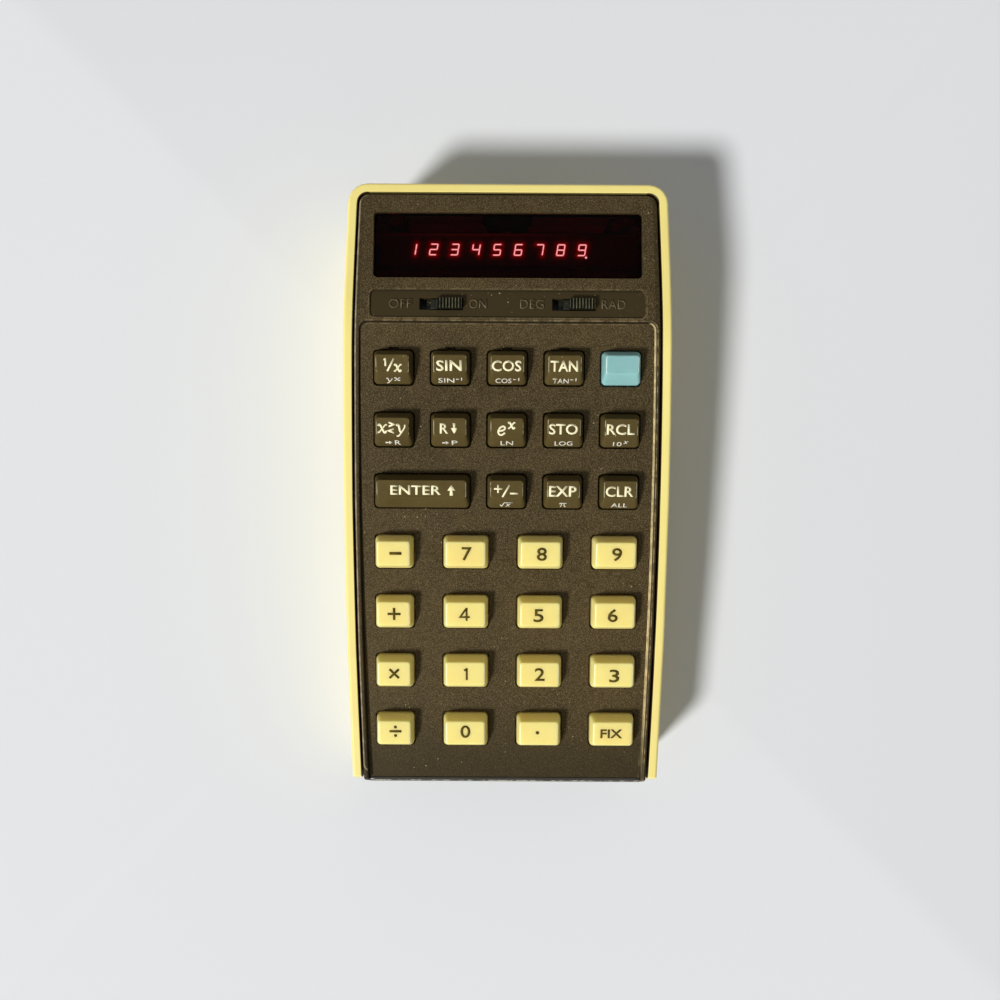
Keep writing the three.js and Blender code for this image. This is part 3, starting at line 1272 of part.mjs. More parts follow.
place("power_inductor", makeInductor(), CHIP_PLASTIC, keypad);
place("display_board", makeDisplayBoard(), BOARD_GREEN, display);
place("led_lens_bar", makeLensBar(), LENS_PLASTIC, display);
place("battery_pack_cover", makePackCover(), CREAM_PLASTIC);
place("battery_cell_front", makeCell(1), CELL_WRAP, calculator, 0, CELL_YS[0], CELL_Z);
place("battery_cell_rear", makeCell(-1), CELL_WRAP, calculator, 0, CELL_YS[1], CELL_Z);
place("battery_cell_link", makeCellLink(), NICKEL);
place("battery_contact_front", makeContact(CELL_YS[0]), NICKEL);
place("battery_contact_rear", makeContact(CELL_YS[1]), NICKEL);
place("charging_socket", makeSocket(), CHIP_PLASTIC);
place("charging_socket_pin", makeSocketPin(), NICKEL);
place("case_screw_left", makeScrew(-REAR_FOOT_X), NICKEL);
place("case_screw_right", makeScrew(REAR_FOOT_X), NICKEL);
place("foot_rear_left", makeFoot(REAR_FOOT_RADIUS, -REAR_FOOT_X, REAR_FOOT_Y), RUBBER);
place("foot_rear_right", makeFoot(REAR_FOOT_RADIUS, REAR_FOOT_X, REAR_FOOT_Y), RUBBER);
place("foot_front_left", makeFoot(FRONT_FOOT_RADIUS, -FRONT_FOOT_X, FRONT_FOOT_Y), RUBBER);
place("foot_front_right", makeFoot(FRONT_FOOT_RADIUS, FRONT_FOOT_X, FRONT_FOOT_Y), RUBBER);

export default calculator;
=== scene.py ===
"""Looks of a hand-held scientific calculator with a red digit display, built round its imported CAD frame.

Sizes are in millimetres until a mesh is made, and meshes are in metres. +Z is up, +Y points to the display.
"""

import json
import logging
import math
from dataclasses import dataclass, field
from enum import Enum
from typing import Callable, Iterable, Sequence

import bmesh
import bpy
import numpy as np
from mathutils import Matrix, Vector

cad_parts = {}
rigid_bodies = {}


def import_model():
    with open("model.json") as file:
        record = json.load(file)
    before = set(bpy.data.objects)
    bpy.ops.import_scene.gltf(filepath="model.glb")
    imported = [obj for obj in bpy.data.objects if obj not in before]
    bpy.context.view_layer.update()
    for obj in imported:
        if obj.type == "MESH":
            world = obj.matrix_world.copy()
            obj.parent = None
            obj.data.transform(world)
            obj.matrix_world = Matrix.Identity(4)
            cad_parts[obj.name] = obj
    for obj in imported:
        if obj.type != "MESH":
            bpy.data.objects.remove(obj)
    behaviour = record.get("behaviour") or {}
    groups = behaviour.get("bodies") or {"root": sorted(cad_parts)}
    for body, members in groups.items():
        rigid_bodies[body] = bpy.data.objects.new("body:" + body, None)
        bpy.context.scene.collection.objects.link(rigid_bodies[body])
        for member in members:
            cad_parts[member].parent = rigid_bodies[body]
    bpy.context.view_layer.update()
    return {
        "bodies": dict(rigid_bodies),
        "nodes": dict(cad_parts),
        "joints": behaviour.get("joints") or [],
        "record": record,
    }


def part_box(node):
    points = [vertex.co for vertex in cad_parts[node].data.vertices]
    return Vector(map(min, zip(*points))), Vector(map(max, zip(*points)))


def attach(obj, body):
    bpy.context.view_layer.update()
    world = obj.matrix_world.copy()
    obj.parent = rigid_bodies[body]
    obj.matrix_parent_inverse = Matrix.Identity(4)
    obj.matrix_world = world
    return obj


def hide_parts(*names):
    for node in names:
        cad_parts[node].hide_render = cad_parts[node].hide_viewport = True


MM = 0.001
MERGE_DISTANCE = 0.002
FLAT_ANGLE = math.radians(0.6)
ROUNDED_PAST = math.radians(28)
LOG = logging.getLogger("calculator")
Colour = tuple[float, float, float]
Point = tuple[float, float]
Mesh = bpy.types.Mesh
Material = bpy.types.Material
Socket = bpy.types.NodeSocket


class Body(str, Enum):
    """The bodies of the frame that new pieces ride on."""

    CASE = "case"
    POWER_SWITCH = "power_switch"
    ANGLE_SWITCH = "angle_switch"
    BATTERY_PACK = "battery_pack"


class KeyKind(Enum):
    """Which moulding a key is."""

    BLACK = "black_key"
    CREAM = "cream_key"
    BLUE = "blue_key"


def linear(red: float, green: float, blue: float) -> tuple[float, float, float, float]:
    """Turn a colour of 0 to 255 on a screen into the linear one that a material takes.

    Args:
        red, green, blue: The screen colour.

    Returns:
        Linear red, green and blue, and an alpha of 1.
    """
    share = np.array([red, green, blue], float) / 255
    value = np.where(share <= 0.04045, share / 12.92, ((share + 0.055) / 1.055) ** 2.4)
    return (float(value[0]), float(value[1]), float(value[2]), 1.0)


# Surfaces


@dataclass
class Surface:
    """A surface as points, quads and triangles, with a value for each point under each mark's name."""

    points: np.ndarray
    quads: np.ndarray
    tris: np.ndarray
    marks: dict[str, np.ndarray] = field(default_factory=dict)

    def joined(self, *others: "Surface") -> "Surface":
        """Put other surfaces beside this one.

        Args:
            others: The surfaces to add.

        Returns:
            One surface that holds them all, with missing marks at zero.
        """
        every = [self, *others]
        starts = np.cumsum([0] + [len(part.points) for part in every[:-1]])
        names = sorted({name for part in every for name in part.marks})
        marks = {
            name: np.concatenate([part.marks.get(name, np.zeros(len(part.points))) for part in every])
            for name in names
        }
        return Surface(
            np.concatenate([part.points for part in every]),
            np.concatenate([part.quads + start for part, start in zip(every, starts)]),
            np.concatenate([part.tris + start for part, start in zip(every, starts)]),
            marks,
        )

    def placed(self, place: Callable[[np.ndarray], np.ndarray]) -> "Surface":
        """Carry every point by a function of the whole array of points."""
        return Surface(place(self.points), self.quads, self.tris, self.marks)

    def mesh(self, name: str) -> Mesh:
        """Write the surface into a Blender mesh, in metres.

        Args:
            name: The mesh's name.

        Returns:
            The mesh, with its marks as point attributes.
        """
        corners = np.concatenate([self.quads.ravel(), self.tris.ravel()]).astype(np.int32)
        sizes = np.concatenate([np.full(len(self.quads), 4), np.full(len(self.tris), 3)]).astype(np.int32)
        made = bpy.data.meshes.new(name)
        made.vertices.add(len(self.points))
        made.vertices.foreach_set("co", (self.points * MM).astype(np.float32).ravel())
        made.loops.add(len(corners))
        made.loops.foreach_set("vertex_index", corners)
        made.polygons.add(len(sizes))
        made.polygons.foreach_set("loop_start", (np.cumsum(sizes) - sizes).astype(np.int32))
        for mark, values in self.marks.items():
            attribute = made.attributes.new(mark, "FLOAT", "POINT")
            attribute.data.foreach_set("value", values.astype(np.float32))
        made.update(calc_edges=True)
        made.validate()
        return made


def read(elements: bpy.types.bpy_prop_collection, key: str, width: int = 1, kind: type = float) -> np.ndarray:
    """Read one property of every vertex, edge, face or corner of a mesh.

    Args:
        elements: The mesh's vertices, edges, faces or corners.
        key: The property's name.
        width: How many numbers it has.
        kind: The numbers' type.

    Returns:
        An array of element, or of element by number where there are several.
    """
    values = np.zeros(len(elements) * width, kind)
    elements.foreach_get(key, values)
    return values.reshape(-1, width) if width > 1 else values


def rings(loops: np.ndarray, marks: dict[str, np.ndarray] | None = None) -> Surface:
    """Join closed loops, one after the other, and close the first and last with a fan to their middle.

    Point (ring, turn) meets its neighbours in ring and in turn. Loops that run counter-clockwise seen
    from above and rise from the first to the last give faces that point outwards.

    Args:
        loops: An array of ring by turn by 3.
        marks: For each mark, a value for each ring and turn.

    Returns:
        The surface.
    """
    ring_count, turn_count = loops.shape[:2]
    index = np.arange(ring_count * turn_count).reshape(ring_count, turn_count)
    onward = np.roll(index, -1, axis=1)
    quads = np.stack([index[:-1], onward[:-1], onward[1:], index[1:]], axis=2).reshape(-1, 4)
    points = loops.reshape(-1, 3)
    values = {name: np.asarray(mark, float).reshape(-1) for name, mark in (marks or {}).items()}
    low, high = len(points), len(points) + 1
    points = np.concatenate([points, loops[0].mean(0)[None], loops[-1].mean(0)[None]])
    low_fan = np.stack([np.full(turn_count, low), onward[0], index[0]], axis=1)
    high_fan = np.stack([np.full(turn_count, high), index[-1], onward[-1]], axis=1)
    values = {
        name: np.concatenate([value, [value[0]], [value[(ring_count - 1) * turn_count]]])
        for name, value in values.items()
    }
    return Surface(points, quads, np.concatenate([low_fan, high_fan]), values)


def round_loop(
    half: Point, radius: float, middle: Point = (0, 0), arc: int = 7, side: int = 5
) -> np.ndarray:
    """Work out a rectangle with round corners, counter-clockwise from its lower right corner.

    Each corner is a quarter circle of the radius about a point one radius inside the rectangle's corner,
    and each side is the straight run between two quarter circles.

    Args:
        half: Half its width and half its depth.
        radius: The corners' radius.
        middle: Its middle.
        arc: The points on each corner.
        side: The points inside each side.

    Returns:
        An array of turn by 2.
    """
    signs = np.array([[1, -1], [1, 1], [-1, 1], [-1, -1]])
    turns = (np.arange(4)[:, None] - 1) * math.pi / 2 + np.linspace(0, math.pi / 2, arc)[None]
    centres = signs * (np.array(half) - radius)
    corners = centres[:, None] + radius * np.stack([np.cos(turns), np.sin(turns)], axis=2)
    share = (np.arange(1, side + 1) / (side + 1))[None, :, None]
    starts, finishes = corners[:, -1][:, None], np.roll(corners, -1, axis=0)[:, 0][:, None]
    sides = starts * (1 - share) + finishes * share
    return np.concatenate([corners, sides], axis=1).reshape(-1, 2) + np.array(middle)


def level(loop: np.ndarray, height: float | np.ndarray) -> np.ndarray:
    """Lift a flat loop to a height, which may differ from point to point."""
    return np.concatenate([loop, np.broadcast_to(height, len(loop))[:, None]], axis=1)


def bent(start: np.ndarray, corner: np.ndarray, finish: np.ndarray, steps: int) -> np.ndarray:
    """Round a corner: the curve (1-t)^2 start + 2t(1-t) corner + t^2 finish, for t from 0 to 1.

    Args:
        start, corner, finish: Arrays of turn by 3.
        steps: How many rings it gives.

    Returns:
        An array of ring by turn by 3.
    """
    t = np.linspace(0, 1, steps)[:, None, None]
    return (1 - t) ** 2 * start + 2 * t * (1 - t) * corner + t**2 * finish


def towards(start: np.ndarray, finish: np.ndarray, distance: float) -> np.ndarray:
    """Step from each start point a set distance, but under half the way, towards its finish point.

    Args:
        start, finish: The points.
        distance: How far to step.

    Returns:
        The points that are reached.
    """
    way = finish - start
    length = np.linalg.norm(way, axis=-1, keepdims=True)
    return start + way * np.minimum(distance / np.maximum(length, 1e-9), 0.45)


def eased_corner(
    start: np.ndarray, corner: np.ndarray, finish: np.ndarray, radius: float, steps: int
) -> np.ndarray:
    """Round the corner between two runs, from a radius before it to a radius past it."""
    return bent(towards(corner, start, radius), corner, towards(corner, finish, radius), steps)


def carried(x: np.ndarray, y: np.ndarray, z: np.ndarray) -> np.ndarray:
    """Carry a section along X: x holds a value for each ring, y for each turn, and z for each of both."""
    return np.stack([np.repeat(x[:, None], len(y), 1), np.repeat(y[None], len(x), 0), z], axis=2)


def turned(profile: Sequence[Point], turn_count: int = 64) -> Surface:
    """Turn a profile of (radius, height) points about the upright axis.

    Args:
        profile: The points, from the bottom of the axis to its top.
        turn_count: The points round.

    Returns:
        The closed surface.
    """
    turns = np.arange(turn_count) * 2 * math.pi / turn_count
    line = np.array(profile, float)
    loops = np.stack(
        [
            line[:, :1] * np.cos(turns),
            line[:, :1] * np.sin(turns),
            np.repeat(line[:, 1:], turn_count, axis=1),
        ],
        axis=2,
    )
    return rings(loops)


def softened(profile: Sequence[Point], radius: float, steps: int = 5) -> list[Point]:
    """Round every inner corner of a profile, by the curve of bent() between points near the corner.

    Args:
        profile: The corner points.
        radius: How far from each corner its curve starts.
        steps: The points on each curve.

    Returns:
        The finer profile.
    """
    line = np.array(profile, float)
    before = towards(line[1:-1], line[:-2], radius)
    after = towards(line[1:-1], line[2:], radius)
    curves = bent(before, line[1:-1], after, steps).transpose(1, 0, 2).reshape(-1, 2)
    return [tuple(point) for point in np.concatenate([line[:1], curves, line[-1:]])]


def stroke(path: Sequence[Point], width: float, low: float, high: float) -> Surface:
    """Draw a line of even width along a path, as a thin solid with square ends.

    At each point the two edges lie half a width to either side, along the mitre of the runs that meet.

    Args:
        path: The points that the line's middle follows.
        width: The line's width.
        low, high: The solid's lowest and highest level.

    Returns:
        The solid.
    """
    line = np.array(path, float)
    runs = np.diff(line, axis=0)
    runs /= np.linalg.norm(runs, axis=1, keepdims=True)
    sides = np.stack([-runs[:, 1], runs[:, 0]], axis=1)
    mitre = np.concatenate([sides[:1], sides[:-1] + sides[1:], sides[-1:]])
    mitre /= np.linalg.norm(mitre, axis=1, keepdims=True)
    own = np.concatenate([sides[:1], sides])
    mitre *= width / 2 / np.maximum((mitre * own).sum(1, keepdims=True), 0.3)
    left, right = line + mitre, line - mitre
    loops = np.stack([level(right, low), level(left, low), level(left, high), level(right, high)], axis=1)
    return rings(loops[:, ::-1])


def plate(outline: Sequence[Point], low: float, high: float) -> Surface:
    """Raise a counter-clockwise outline that its middle can see all of into a thin solid."""
    loop = np.array(outline, float)
    return rings(np.stack([level(loop, low), level(loop, high)]))


@dataclass(frozen=True)
class Slope:
    """A sloping plane of the case, with X across, V up the slope and W out of it."""

    origin_y: float
    origin_z: float
    degrees: float

    def world(self, points: np.ndarray) -> np.ndarray:
        """Turn points of the plane's own frame into the object's frame.

        Args:
            points: An array of points by 3.

        Returns:
            y = v cos - w sin and z = v sin + w cos, from the plane's origin.
        """
        turn = math.radians(self.degrees)
        x, v, w = points[:, 0], points[:, 1], points[:, 2]
        y = self.origin_y + v * math.cos(turn) - w * math.sin(turn)
        z = self.origin_z + v * math.sin(turn) + w * math.cos(turn)
        return np.stack([x, y, z], axis=1)


@dataclass(frozen=True)
class CasePlan:
    """The case's main sizes, as its solids have them."""

    width: float = 67.74
    length: float = 125.806
    bow_centre_y: float = 7
    bow_radius: float = 1650
    rear_corner: float = 4
    rim: float = 1.9
    ridge_y: float = 34.003
    peak_z: float = 27.951
    rim_slope: float = 5.2
    display_slope: float = 4.5
    front_top_y: float = -62.003
    keypad: Slope = Slope(0, 23.997, 5.8)
    display: Slope = Slope(34.003, 27.801, -4.5)

    def depth_inside(self, x: np.ndarray, y: np.ndarray) -> np.ndarray:
        """Tell how far points lie inside the case's outline in plan.

        The sides bow as half the width less (y - centre)^2 over twice the bow's radius, and the rear
        corners are quarter circles.

        Args:
            x, y: The points.

        Returns:
            The distances, in millimetres.
        """
        half = self.width / 2 - (y - self.bow_centre_y) ** 2 / (2 * self.bow_radius)
        side, rear = half - np.abs(x), self.length / 2 - y
        inner = self.rear_corner - np.stack([side, rear])
        corner = self.rear_corner - np.hypot(inner[0], inner[1])
        return np.where((inner > 0).all(0), corner, np.minimum(side, rear))

    def crown(self, y: np.ndarray) -> np.ndarray:
        """Give the height of the rim along Y: two slopes that fall away from the ridge."""
        slope = np.where(y < self.ridge_y, self.rim_slope, self.display_slope)
        return self.peak_z - np.abs(y - self.ridge_y) * np.tan(np.radians(slope))


# Materials


class Graph:
    """A short way to add nodes to a material or a node group and wire them."""

    def __init__(self, tree: bpy.types.NodeTree) -> None:
        """Keep the tree that nodes go into."""
        self.tree = tree

    def node(self, kind: str, inputs: dict | None = None, **settings: object) -> bpy.types.Node:
        """Add a node.

        Args:
            kind: The node's type, without its ShaderNode prefix, or its whole type.
            inputs: For each input's name or number, a value or a socket to wire to it.
            settings: The node's own settings.

        Returns:
            The node.
        """
        made = self.tree.nodes.new(kind if kind.startswith("Node") else f"ShaderNode{kind}")
        for name, value in settings.items():
            setattr(made, name, value)
        self.feed(made, inputs or {})
        return made

    def feed(self, node: bpy.types.Node, inputs: dict) -> None:
        """Give a node's inputs their values.

        Args:
            node: The node.
            inputs: For each input's name or number, a value or a socket to wire to it.
        """
        for name, value in inputs.items():
            if isinstance(value, Socket):
                self.tree.links.new(value, node.inputs[name])
            else:
                node.inputs[name].default_value = value

    def group(self, tree: bpy.types.NodeTree, **inputs: object) -> Socket:
        """Add a node group with its inputs and give its one output."""
        return self.node("Group", inputs, node_tree=tree).outputs[0]

    def place(self) -> Socket:
        """Add the object's own coordinates."""
        return self.node("TexCoord").outputs["Object"]

    def mark(self, name: str) -> Socket:
        """Add a mark of the mesh, as a number."""
        return self.node("Attribute", attribute_name=name).outputs["Fac"]

    def bump(self, height: object, depth: float, strength: float) -> Socket:
        """Add a Bump node of a depth in millimetres and give its normal."""
        return self.node("Bump", {"Height": height, "Distance": depth * MM, "Strength": strength}).outputs[0]

    def spread(self, value: object, low: float, high: float) -> Socket:
        """Map a value of 0 to 1 to the range from low to high."""
        return self.node("MapRange", {"Value": value, "To Min": low, "To Max": high}).outputs[0]

    def times(self, *values: object) -> Socket:
        """Multiply values, which may be sockets, and give the last product."""
        product = values[0]
        for value in values[1:]:
            product = self.math("MULTIPLY", product, value)
        return product

    def math(self, operation: str, *values: object) -> Socket:
        """Add a Math node and give its output."""
        return self.node("Math", dict(enumerate(values)), operation=operation).outputs[0]

    def band(self, value: Socket, low: float, high: float) -> Socket:
        """Map a value to 0 below low and 1 above high, smoothly between, for low and high in either order."""
        return self.node(
            "MapRange",
            {"Value": value, "From Min": low, "From Max": high},
            interpolation_type="SMOOTHSTEP",
        ).outputs[0]

    def noise(self, vector: object, scale: object, detail: float = 2.0) -> Socket:
        """Add a Noise Texture node and give its value."""
        return self.node("TexNoise", {"Vector": vector, "Scale": scale, "Detail": detail}).outputs[0]

    def blend(self, factor: object, first: object, second: object) -> Socket:
        """Mix two colours by a factor."""
        made = self.node("Mix", {0: factor, 6: first, 7: second}, data_type="RGBA")
        return made.outputs[2]


def node_group(
    name: str, inputs: dict[str, float], output: str, fill: Callable[[Graph, dict], Socket]
) -> bpy.types.NodeTree:
    """Build a shader node group once.

    Args:
        name: The group's name.
        inputs: Its number inputs and their usual values. Every group also has a Vector input.
        output: The name of its one number output.
        fill: A function that adds the nodes and returns the socket to put out.

    Returns:
        The group.
    """
    if name in bpy.data.node_groups:
        return bpy.data.node_groups[name]
    tree = bpy.data.node_groups.new(name, "ShaderNodeTree")
    tree.interface.new_socket("Vector", in_out="INPUT", socket_type="NodeSocketVector")
    for label, value in inputs.items():
        socket = tree.interface.new_socket(label, in_out="INPUT", socket_type="NodeSocketFloat")
        socket.default_value = value
    tree.interface.new_socket(output, in_out="OUTPUT", socket_type="NodeSocketFloat")
    graph = Graph(tree)
    entry = graph.node("NodeGroupInput")
    sockets = {socket.name: socket for socket in entry.outputs}
    graph.node("NodeGroupOutput", {output: fill(graph, sockets)})
    return tree


def add_grain(graph: Graph, ins: dict) -> Socket:
    """Add moulded grain: smooth cells broken up by noise.

    Args:
        graph: The group's nodes.
        ins: Its inputs, by name.

    Returns:
        The height, 0 in the grooves and 1 on the pebbles.
    """
    shift = graph.node(
        "TexNoise", {"Vector": ins["Vector"], "Scale": ins["Scale"], "Detail": 1.0}
    ).outputs["Color"]
    moved = graph.node(
        "VectorMath",
        {0: shift, 1: (0.00022, 0.00022, 0.00022), 2: ins["Vector"]},
        operation="MULTIPLY_ADD",
    ).outputs[0]
    cells = graph.node(
        "TexVoronoi",
        {"Vector": moved, "Scale": ins["Scale"], "Smoothness": 0.6},
        feature="SMOOTH_F1",
    ).outputs["Distance"]
    fine = graph.noise(ins["Vector"], graph.times(ins["Scale"], 3.1))
    pebble = graph.band(cells, 0.75, 0.1)
    coarse = graph.times(pebble, graph.math("SUBTRACT", 1.0, ins["Fineness"]))
    return graph.math("ADD", coarse, graph.times(fine, ins["Fineness"]))


def grain_group() -> bpy.types.NodeTree:
    """Give the group of moulded grain."""
    return node_group("Moulded grain", {"Scale": 3200.0, "Fineness": 0.35}, "Height", add_grain)


def add_mottle(graph: Graph, ins: dict) -> Socket:
    """Add slow changes of tone, as handling and age leave them.

    Args:
        graph: The group's nodes.
        ins: Its inputs, by name.

    Returns:
        A factor about 0.5.
    """
    broad = graph.noise(ins["Vector"], ins["Scale"], 3.0)
    close = graph.noise(ins["Vector"], graph.times(ins["Scale"], 7.3))
    mixed = graph.math("ADD", graph.times(broad, 0.65), graph.times(close, 0.35))
    return graph.band(mixed, 0.3, 0.7)


def mottle_group() -> bpy.types.NodeTree:
    """Give the group of tone changes."""
    return node_group("Tone mottle", {"Scale": 60.0}, "Factor", add_mottle)


def add_speck(graph: Graph, ins: dict) -> Socket:
    """Add scattered dust specks: small dots in a share of the cells.

    Args:
        graph: The group's nodes.
        ins: Its inputs, by name.

    Returns:
        The mask, 1 on a speck.
    """
    cells = graph.node("TexVoronoi", {"Vector": ins["Vector"], "Scale": ins["Scale"]})
    picked = graph.node("SeparateColor", {"Color": cells.outputs["Color"]})
    kept = graph.math("LESS_THAN", picked.outputs[0], ins["Share"])
    size = graph.times(ins["Size"], graph.math("ADD", 0.4, picked.outputs[1]))
    near = graph.math("LESS_THAN", cells.outputs["Distance"], size)
    clump = graph.band(graph.noise(ins["Vector"], 110.0), 0.38, 0.62)
    return graph.times(kept, near, clump)


def speck_group() -> bpy.types.NodeTree:
    """Give the group of dust specks."""
    return node_group("Dust specks", {"Scale": 1500.0, "Share": 0.2, "Size": 0.12}, "Mask", add_speck)


def add_wear_and_glint(graph: Graph, ins: dict) -> Socket:
    """Add worn edges and painted glints along them: the edge value, eaten into by noise.

    Args:
        graph: The group's nodes.
        ins: Its inputs, by name.

    Returns:
        The mask, 1 where the edge is worn or carries a painted glint.
    """
    patch = graph.noise(ins["Vector"], ins["Scale"], 4.0)
    worn = graph.math("ADD", graph.times(ins["Edge"], 0.9), patch)
    limit = graph.math("SUBTRACT", 1.45, graph.times(ins["Amount"], 0.7))
    above = graph.math("SUBTRACT", worn, limit)
    return graph.band(above, -0.04, 0.06)


def wear_and_glint_group() -> bpy.types.NodeTree:
    """Give the group of worn edges and painted glints."""
    return node_group("Edge wear", {"Edge": 0.0, "Amount": 0.5, "Scale": 900.0}, "Mask", add_wear_and_glint)


@dataclass(frozen=True)
class Outline:
    """A rectangle with round corners, in the frame of one of the case's slopes, whose sides may bow."""

    slope: Slope
    middle_v: float
    half: Point
    corner: float
    bow_radius: float = 0.0
    bow_v: float = 7.0

    def distance(self, graph: Graph, place: Socket) -> tuple[Socket, ...]:
        """Add the nodes that measure how far a point lies outside the outline.

        With q the point's distances past the rectangle shrunk by the corner's radius, that is
        |max(q, 0)| + min(max(qx, qv), 0) - radius. Bowed sides lie (v - bow_v)^2 / (2 bow_radius) nearer.

        Args:
            graph: The material's graph.
            place: The object's own coordinates.

        Returns:
            Sockets for the distance, for x and for the height over the slope, all in millimetres.
        """
        local = graph.node(
            "Mapping",
            {
                "Vector": place,
                "Location": (0.0, self.slope.origin_y * MM, self.slope.origin_z * MM),
                "Rotation": (math.radians(self.slope.degrees), 0.0, 0.0),
                "Scale": (MM, MM, MM),
            },
            vector_type="TEXTURE",
        ).outputs[0]
        x, v, w = graph.node("SeparateXYZ", {0: local}).outputs
        past_x = graph.math("SUBTRACT", graph.math("ABSOLUTE", x), self.half[0] - self.corner)
        if self.bow_radius:
            off = graph.math("SUBTRACT", v, self.bow_v)
            bow = graph.math("DIVIDE", graph.times(off, off), 2 * self.bow_radius)
            past_x = graph.math("ADD", past_x, bow)
        past_v = graph.math("ABSOLUTE", graph.math("SUBTRACT", v, self.middle_v))
        past_v = graph.math("SUBTRACT", past_v, self.half[1] - self.corner)
        outer = graph.node(
            "CombineXYZ", {0: graph.math("MAXIMUM", past_x, 0.0), 1: graph.math("MAXIMUM", past_v, 0.0)}
        ).outputs[0]
        outside = graph.node("VectorMath", {0: outer}, operation="LENGTH").outputs["Value"]
        inside = graph.math("MINIMUM", graph.math("MAXIMUM", past_x, past_v), 0.0)
        total = graph.math("SUBTRACT", graph.math("ADD", outside, inside), self.corner)
        return total, x, w


@dataclass(frozen=True)
class Patch:
    """A part of a moulding inside an outline and between two levels, given another colour: the part's own, or
    painted shade.
    """

    outline: Outline
    levels: tuple[float, float]
    colour: Colour
    soft: float = 0.06
    strength: float = 1.0
    smooth: bool = True

    def mask(self, graph: Graph, place: Socket) -> Socket:
        """Add the nodes that find the patch, with a soft edge.

        Args:
            graph: The material's graph.
            place: The object's own coordinates.

        Returns:
            A socket that gives 1 in the patch and 0 outside.
        """
        away, _, w = self.outline.distance(graph, place)
        soft = self.soft
        inside = graph.band(away, soft, -soft)
        above = graph.band(w, self.levels[0] - soft, self.levels[0] + soft)
        below = graph.band(w, self.levels[1] + soft, self.levels[1] - soft)
        return graph.times(inside, above, below)


@dataclass(frozen=True)
class Trace:
    """A narrow line beside an outline: an edge that light catches, or one in shade."""

    outline: Outline
    offset: float
    width: float
    colour: Colour
    strength: float = 1.0
    reach_x: tuple[float, float] = (-60.0, 60.0)
    broken: float = 0.0
    soft: float = 0.06
    fade: float = 0.4

    def mask(self, graph: Graph, place: Socket) -> Socket:
        """Add the nodes that give the line's strength on it and 0 beside it.

        Args:
            graph: The material's graph.
            place: The object's own coordinates.

        Returns:
            The strength, less where noise breaks the line.
        """
        away, x, _ = self.outline.distance(graph, place)
        off = graph.math("ABSOLUTE", graph.math("SUBTRACT", away, self.offset))
        line = graph.band(off, self.width / 2 + self.soft, self.width / 2 - self.soft)
        (low, high), fade = self.reach_x, self.fade
        from_low, to_high = graph.band(x, low - fade, low + fade), graph.band(x, high + fade, high - fade)
        line = graph.times(line, from_low, to_high)
        if self.broken:
            worn = graph.band(graph.noise(place, 620.0, 3.0), 0.42, 0.62)
            kept = graph.math("ADD", graph.times(worn, self.broken), 1.0 - self.broken)
            line = graph.times(line, kept)
        return graph.times(line, self.strength)


@dataclass(frozen=True)
class Finish:
    """A finish: a material of its own name, and a slot name."""

    name: str
    slot: str

    def build(self) -> Material:
        """Make the material, once.

        Returns:
            The material.
        """
        if self.name not in bpy.data.materials:
            made = bpy.data.materials.new(self.name)
            made.use_nodes = True
            graph = Graph(made.node_tree)
            graph.feed(made.node_tree.nodes["Principled BSDF"], self.wire(graph))
        return bpy.data.materials[self.name]

    def wire(self, graph: Graph) -> dict:
        """Add the finish's own nodes.

        Args:
            graph: The material's graph.

        Returns:
            What each input of the shader is fed.
        """
        raise NotImplementedError


